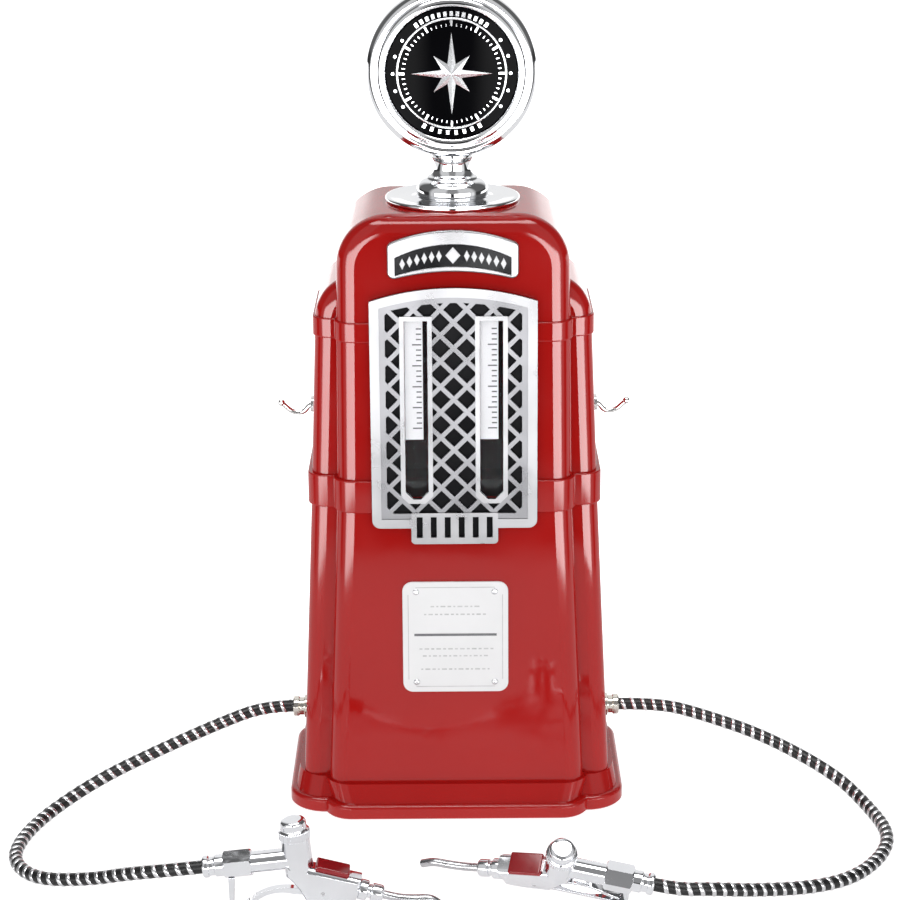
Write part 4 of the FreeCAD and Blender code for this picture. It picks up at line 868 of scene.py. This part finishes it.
# %% Uneven shade: the colour times a noise from 1 - amount to 1
shade_group, given, result = new_group(
    "uneven_shade",
    (("Colour", COLOUR, (0.5, 0.5, 0.5, 1.0)), ("Amount", FLOAT, 0.1), ("Size", FLOAT, 12.0)),
    (("Colour", COLOUR),))
clouds = noise_in(shade_group, given["Size"], detail=4.0)
darkest = calc(shade_group, "SUBTRACT", 1.0, given["Amount"])
scaled = shade_group.nodes.new("ShaderNodeVectorMath")
scaled.operation = "SCALE"
feed(shade_group, scaled.inputs[0], given["Colour"])
feed(shade_group, scaled.inputs["Scale"], noise_range(shade_group, clouds, darkest, 1.0))
feed(shade_group, result["Colour"], scaled.outputs[0])
print("group:", shade_group.name)

# %% Smudges: a roughness that wanders between two values
smudge_group, given, result = new_group(
    "smudges", (("Low", FLOAT, 0.05), ("High", FLOAT, 0.15), ("Size", FLOAT, 30.0)),
    (("Roughness", FLOAT),))
clouds = noise_in(smudge_group, given["Size"], detail=3.0)
feed(smudge_group, result["Roughness"],
     noise_range(smudge_group, clouds, given["Low"], given["High"]))
print("group:", smudge_group.name)

# %% Ripple: the slight waviness of moulded or polished skin
ripple_group, given, result = new_group(
    "ripple", (("Depth", FLOAT, 0.0001), ("Size", FLOAT, 60.0)), (("Normal", VECTOR),))
waves = noise_in(ripple_group, given["Size"], detail=2.0)
feed(ripple_group, result["Normal"], relief(ripple_group, waves, given["Depth"]))
print("group:", ripple_group.name)

# %% Brushing: noise drawn out into lines, in the gloss and in the relief
brush_group, given, result = new_group(
    "brushing",
    (("Stretch", VECTOR, (1.0, 1.0, 30.0)), ("Size", FLOAT, 60.0), ("Low", FLOAT, 0.2),
     ("High", FLOAT, 0.4), ("Depth", FLOAT, 0.00002)),
    (("Roughness", FLOAT), ("Normal", VECTOR)))
lines = noise_in(brush_group, given["Size"], detail=2.0, stretch=given["Stretch"])
feed(brush_group, result["Roughness"],
     noise_range(brush_group, lines, given["Low"], given["High"]))
feed(brush_group, result["Normal"], relief(brush_group, lines, given["Depth"]))
print("group:", brush_group.name)

# %% [markdown]
# ## Finishes
# Every finish is put together in the same way: an uneven colour, a gloss that varies between two
# values, and a fine relief. Only the values differ, so one function makes them all.

# %% A finish built from the groups
finishes = {}


def place_group(material, group, **values):
    """A node group in a material, with its named inputs set."""
    node = material.node_tree.nodes.new("ShaderNodeGroup")
    node.node_tree = group
    for key, value in values.items():
        node.inputs[key].default_value = value
    return node.outputs


def shader_of(name):
    """Sockets of the shader of a finish."""
    return finishes[name].node_tree.nodes["Principled BSDF"].inputs


def new_finish(name, colour, rough, metal=0.0, ior=1.45, tone=(0.12, 14.0), ripple=(0.00006, 60.0),
               smudge=28.0, brush=None):
    """Finish of a colour, a (low, high) roughness and a relief.

    tone is (amount, size) of the uneven shade, ripple is (depth, size), smudge is the size of the
    smudges, and brush is how much each axis is stretched, if the surface is brushed.
    """
    material = bpy.data.materials.new(name)
    material.use_nodes = True
    finishes[name] = material
    tree = material.node_tree
    shader = shader_of(name)
    shader["Metallic"].default_value = metal
    shader["IOR"].default_value = ior
    shade = place_group(material, shade_group, Colour=(*colour, 1.0), Amount=tone[0], Size=tone[1])
    tree.links.new(shade["Colour"], shader["Base Color"])
    if brush:
        surface = place_group(material, brush_group, Stretch=brush, Low=rough[0], High=rough[1])
        gloss = surface
    else:
        gloss = place_group(material, smudge_group, Low=rough[0], High=rough[1], Size=smudge)
        surface = place_group(material, ripple_group, Depth=ripple[0], Size=ripple[1])
    tree.links.new(gloss["Roughness"], shader["Roughness"])
    tree.links.new(surface["Normal"], shader["Normal"])


def paint_over(name, mask, colour):
    """Lay a plain colour over the finish's own colour where the mask is one."""
    base = shader_of(name)["Base Color"]
    tree = finishes[name].node_tree
    own = base.links[0].from_socket
    tree.links.new(mix(tree, "RGBA", mask, own, (*colour, 1.0)), base)


# %% [markdown]
# ### Red moulded cabinet
# The cabinet is deep red plastic with a hard gloss. Its two shells meet in a plane through the
# head, and the seam shows as a dark hairline down both sides. Two real edges would need a gap
# between the shells, so the line is painted where the place is within a fraction of a millimetre
# of the plane.

# %% Cabinet red and its seam
SEAM_Y = HEAD_Y * MM
SEAM_HALF = 0.22 * MM
SEAM_COLOUR = (0.03, 0.001, 0.001)

new_finish("cabinet_red", (0.42, 0.0068, 0.0056), (0.05, 0.13), ior=1.50, tone=(0.10, 7.0),
           ripple=(0.00010, 22.0), smudge=16.0)
tree = finishes["cabinet_red"].node_tree
seam = calc(tree, "COMPARE", object_axes(tree)["Y"], SEAM_Y, SEAM_HALF)
paint_over("cabinet_red", seam, SEAM_COLOUR)
print("finish:", finishes["cabinet_red"].name)

# %% [markdown]
# ### Chrome, steel and brass
# Chrome is a metal of nearly full reflection, so what it shows is the room. The head and the
# nozzles are polished, and the cast trims are satin: rougher, and darker, because the room's
# screens would turn them white. Spouts, screws, nuts and outlet fittings are brushed. The riveted
# plate is brushed silver paint, which is no mirror, so its metal value stays at zero.

# %% Metals
new_finish("head_chrome", (0.90, 0.91, 0.93), (0.02, 0.07), metal=1.0, tone=(0.05, 20.0),
           ripple=(0.00003, 40.0))
new_finish("trim_chrome", (0.31, 0.31, 0.32), (0.24, 0.34), metal=1.0, tone=(0.10, 30.0),
           ripple=(0.00004, 160.0))
new_finish("face_silver", (0.80, 0.81, 0.83), (0.16, 0.28), metal=1.0, tone=(0.10, 60.0),
           ripple=(0.00005, 240.0))
new_finish("nozzle_chrome", (0.88, 0.89, 0.92), (0.03, 0.10), metal=1.0, tone=(0.07, 40.0),
           ripple=(0.00008, 90.0), smudge=60.0)
new_finish("hook_chrome", (0.82, 0.81, 0.80), (0.06, 0.14), metal=1.0, tone=(0.10, 80.0))
new_finish("fitting_chrome", (0.78, 0.74, 0.68), (0.10, 0.20), metal=1.0, tone=(0.12, 90.0),
           brush=(40.0, 1.0, 1.0))
new_finish("hose_wire", (0.80, 0.80, 0.82), (0.18, 0.34), metal=1.0, tone=(0.16, 120.0),
           ripple=(0.00006, 300.0), smudge=120.0)
new_finish("spout_steel", (0.62, 0.62, 0.64), (0.16, 0.28), metal=1.0, tone=(0.12, 100.0),
           brush=(1.0, 30.0, 30.0))
new_finish("screw_steel", (0.66, 0.66, 0.68), (0.22, 0.36), metal=1.0, tone=(0.14, 140.0),
           brush=(30.0, 1.0, 30.0))
new_finish("nut_brass", (0.68, 0.46, 0.16), (0.18, 0.32), metal=1.0, tone=(0.14, 120.0),
           brush=(30.0, 1.0, 1.0))
new_finish("plate_silver", (0.84, 0.84, 0.85), (0.30, 0.44), tone=(0.06, 26.0),
           brush=(1.0, 40.0, 40.0))
print("finishes so far:", len(finishes))

# %% [markdown]
# ### Lattice bars of the grille
# The bars of the lattice lie deeper than the rim of the grille and are duller, so they are painted
# a darker grey: painted shade for the recess, and duller plating too. They are one casting with
# the rim, so a second material would need the mesh to be cut up.
# A mask by place is simpler: all that lies behind the rim's front and below its arch.

# %% Paint shade on the lattice bars
BARS_FRONT_Y = -63.2 * MM
BARS_TOP_Z = 335.0 * MM
BARS_SHADE_COLOUR = (0.195, 0.195, 0.205)

tree = finishes["trim_chrome"].node_tree
axes = object_axes(tree)
behind_rim = calc(tree, "GREATER_THAN", axes["Y"], BARS_FRONT_Y)
below_arch = calc(tree, "LESS_THAN", axes["Z"], BARS_TOP_Z)
# Painted shade: the recessed bars get a darker grey than the rim, which also stands for duller
# plating.
paint_over("trim_chrome", calc(tree, "MULTIPLY", behind_rim, below_arch), BARS_SHADE_COLOUR)
print("bars grey:", BARS_SHADE_COLOUR)

# %% [markdown]
# ### Plastics, rubber and enamel
# The nozzles' covers are red plastic, the marks and scale strips are enamel, and the hoses and
# feet are rubber with a fine grain. The globe's dark face and the backing behind the lattice have
# to stay black in a very bright room, so their specular level is turned down.

# %% Plastics, rubber and enamel
new_finish("nozzle_red", (0.30, 0.010, 0.014), (0.06, 0.16), ior=1.5, tone=(0.12, 60.0),
           ripple=(0.00006, 140.0))
new_finish("cover_black", (0.012, 0.012, 0.013), (0.40, 0.60), tone=(0.25, 40.0),
           ripple=(0.0002, 600.0))
new_finish("foot_rubber", (0.014, 0.014, 0.014), (0.55, 0.75), tone=(0.25, 60.0),
           ripple=(0.0002, 500.0))
new_finish("face_dark", (0.004, 0.004, 0.005), (0.04, 0.10), tone=(0.30, 20.0),
           ripple=(0.00003, 30.0))
new_finish("backing_black", (0.004, 0.004, 0.005), (0.55, 0.75), tone=(0.30, 60.0),
           ripple=(0.0001, 400.0))
shader_of("face_dark")["Specular IOR Level"].default_value = 0.02
shader_of("backing_black")["Specular IOR Level"].default_value = 0.10
new_finish("insert_dark", (0.007, 0.007, 0.009), (0.10, 0.22), tone=(0.25, 50.0),
           ripple=(0.00004, 120.0))
new_finish("scale_white", (0.97, 0.97, 1.00), (0.35, 0.50), tone=(0.03, 60.0),
           ripple=(0.00004, 300.0))
new_finish("mark_white", (0.88, 0.88, 0.90), (0.25, 0.40), tone=(0.06, 80.0))
new_finish("mark_grey", (0.16, 0.16, 0.17), (0.35, 0.50), tone=(0.20, 200.0))
new_finish("mark_pale", (0.60, 0.60, 0.61), (0.35, 0.50), tone=(0.20, 160.0))
new_finish("hose_rubber", (0.010, 0.010, 0.011), (0.30, 0.48), tone=(0.30, 90.0),
           ripple=(0.0001, 500.0))
print("finishes so far:", len(finishes))

# %% [markdown]
# ### Clear pieces
# The level windows are thin clear sheet, and most light goes straight through it. A low alpha
# gives that without bending the light twice. The tanks and inner tubes are thin blown plastic, a
# little milky, and let light through by transmission.

# %% Clear windows, tanks and tubes
for name, colour, rough, clear, alpha in (
        ("lens_clear", (0.96, 0.98, 0.98), (0.0, 0.02), 1.0, 0.06),
        ("tank_clear", (0.80, 0.84, 0.86), (0.02, 0.07), 0.97, 1.0),
        ("tube_clear", (0.80, 0.82, 0.80), (0.20, 0.35), 0.70, 1.0)):
    new_finish(name, colour, rough, tone=(0.04, 30.0))
    shader_of(name)["Transmission Weight"].default_value = clear
    shader_of(name)["Alpha"].default_value = alpha

# %% Give every node and piece its finish
for node, slot in SLOT_OF.items():
    NODES[node].data.materials.clear()
    NODES[node].data.materials.append(finishes[slot])
for piece, finish_name in extra_pieces.values():
    piece.data.materials.clear()
    piece.data.materials.append(finishes[finish_name])
print("finishes:", len(finishes), "pieces:", len(extra_pieces))

# %% [markdown]
# ## Floor
# The floor is a white sweep that runs far back and ends a little way in front of the object, so
# the upright faces mirror the dark room and not the floor. It glows a little, which hides its far
# edge against the white backdrop. Mirrors are shown a lower glow than the camera is, because
# chrome on a white ground keeps its outline only if it mirrors something greyer.

# %% Shape of the floor
FLOOR_CORNERS = 144
FLOOR_FRONT = 0.66
FLOOR_BACK = 12.0
FLOOR_CENTRE_Y = -0.05
SWEEP_START = -0.02
SWEEP_SPAN = 0.35


def floor_rim():
    """Rim at reach front + (back - front) q^3, with q = (sin bearing - start) / span in 0 to 1.

    So q is 0 in front and at the sides, and rises to 1 behind.
    """
    bearing = full_turn(FLOOR_CORNERS)
    q = np.clip((np.sin(bearing) - SWEEP_START) / SWEEP_SPAN, 0.0, 1.0)
    reach = FLOOR_FRONT + (FLOOR_BACK - FLOOR_FRONT) * q ** 3
    return np.stack([reach * np.cos(bearing), FLOOR_CENTRE_Y + reach * np.sin(bearing),
                     np.zeros(FLOOR_CORNERS)], -1)


floor_mesh = bpy.data.meshes.new("floor")
floor_points = np.concatenate([[(0.0, FLOOR_CENTRE_Y, 0.0)], floor_rim()])
fan = [(0, k + 1, (k + 1) % FLOOR_CORNERS + 1) for k in range(FLOOR_CORNERS)]
floor_mesh.from_pydata(floor_points.tolist(), [], fan)
floor = make_object("floor", floor_mesh)
print("floor runs back to", FLOOR_BACK, "m")

# %% Paint of the floor
# Each glow is (near place, far place, near level, far level) along Y.
SEEN_GLOW = (0.05, 0.30, 0.92, 1.9)
MIRROR_GLOW = (0.65, 1.10, 0.52, 1.6)

floor_paint = bpy.data.materials.new("floor_paint")
floor_paint.use_nodes = True
floor_mesh.materials.append(floor_paint)
tree = floor_paint.node_tree
floor_shader = tree.nodes["Principled BSDF"].inputs
floor_shader["Base Color"].default_value = (0.45, 0.45, 0.45, 1.0)
floor_shader["Roughness"].default_value = 0.9
floor_shader["Specular IOR Level"].default_value = 0.1
floor_shader["Emission Color"].default_value = (1.0, 1.0, 1.0, 1.0)
axes = object_axes(tree)
is_mirrored = tree.nodes.new("ShaderNodeLightPath").outputs["Is Glossy Ray"]
glow = mix(tree, "FLOAT", is_mirrored, spread(tree, axes["Y"], *SEEN_GLOW),
           spread(tree, axes["Y"], *MIRROR_GLOW))
feed(tree, floor_shader["Emission Strength"], glow)
print("floor glow:", SEEN_GLOW, "in mirrors:", MIRROR_GLOW)

# %% [markdown]
# ## Light
# Chrome and gloss show what stands round them more than their own colour, so the room matters as
# much as the materials. It could be built from lamps and screens, but a world painted by direction
# is quicker and has no edges to hide. Mirrors see bright screens in front at both sides, a dark
# gap straight ahead and at the sides, and a bright strip above. Plain surfaces see a soft light
# that grows towards the front, and the camera sees white.

# %% Screens by bearing
# Stops are (degrees round from straight ahead, brightness), the same to the left and to the right.
SCREENS_LOW = ((0, 0.04), (5, 0.04), (9, 13.0), (50, 13.0), (60, 0.8), (70, 1.0), (82, 0.05),
               (132, 0.05), (144, 2.0), (180, 2.0))
SCREENS_HIGH = ((0, 0.35), (16, 0.35), (24, 0.8), (70, 0.8), (84, 0.15), (135, 0.15), (155, 1.15),
                (180, 1.15))
RAMP_PEAK = 14.0

world = bpy.data.worlds.new("studio")
bpy.context.scene.world = world
world.use_nodes = True
room = world.node_tree
room.nodes.clear()


def screens(stops, turn):
    """Brightness by bearing: a colour ramp over the half turn, scaled up from its 0 to 1 range."""
    node = room.nodes.new("ShaderNodeValToRGB")
    ramp = node.color_ramp
    while len(ramp.elements) < len(stops):
        ramp.elements.new(0.5)
    for element, (degrees, bright) in zip(ramp.elements, stops):
        element.position = degrees / 180.0
        element.color = (*(bright / RAMP_PEAK,) * 3, 1.0)
    room.links.new(turn, node.inputs[0])
    return calc(room, "MULTIPLY", node.outputs["Color"], RAMP_PEAK)


def ease(value, low, high, start=0.0, end=1.0):
    """Smooth step of a value from start at low to end at high."""
    return spread(room, value, low, high, start, end, "SMOOTHSTEP")


print("screens:", len(SCREENS_LOW), "stops low,", len(SCREENS_HIGH), "stops high")

# %% Put the room together
RIGHT_LEAN = 0.15
WALL_SPLIT = (0.05, 0.16)
STRIP_LOWER = (0.86, 0.91)
STRIP_UPPER = (0.968, 0.985)
STRIP_AHEAD = (-0.08, 0.04)
STRIP_LEVEL = 10.0
SOFT_BEHIND, SOFT_AHEAD = 0.45, 1.30

way = room.nodes.new("ShaderNodeTexCoord")
parts = room.nodes.new("ShaderNodeSeparateXYZ")
room.links.new(way.outputs["Generated"], parts.inputs[0])
x, y, z = parts.outputs
ahead = calc(room, "MULTIPLY", y, -1.0)
bearing = calc(room, "ARCTAN2", calc(room, "ABSOLUTE", x), ahead)
turn = calc(room, "DIVIDE", bearing, math.pi)
brighter_right = calc(room, "ADD", calc(room, "MULTIPLY", x, RIGHT_LEAN), 1.0)
low_room = calc(room, "MULTIPLY", screens(SCREENS_LOW, turn), brighter_right)
walls = mix(room, "FLOAT", ease(z, *WALL_SPLIT), low_room, screens(SCREENS_HIGH, turn))
strip = calc(room, "MULTIPLY", ease(z, *STRIP_LOWER), ease(z, *STRIP_UPPER, 1.0, 0.0))
strip = calc(room, "MULTIPLY", strip, ease(ahead, *STRIP_AHEAD))
mirrored = mix(room, "FLOAT", strip, walls, STRIP_LEVEL)
soft_room = ease(ahead, -1.0, 1.0, SOFT_BEHIND, SOFT_AHEAD)

ray = room.nodes.new("ShaderNodeLightPath").outputs
seen = mix(room, "FLOAT", ray["Is Glossy Ray"], soft_room, mirrored)
seen = mix(room, "FLOAT", ray["Is Camera Ray"], seen, 1.0)
light = room.nodes.new("ShaderNodeBackground")
room.links.new(seen, light.inputs["Strength"])
sky = room.nodes.new("ShaderNodeOutputWorld")
room.links.new(light.outputs[0], sky.inputs["Surface"])
bpy.context.scene.view_settings.view_transform = "Standard"
print("nodes in the world:", len(room.nodes))

# %% Bring the scene up to date
bpy.context.view_layer.update()
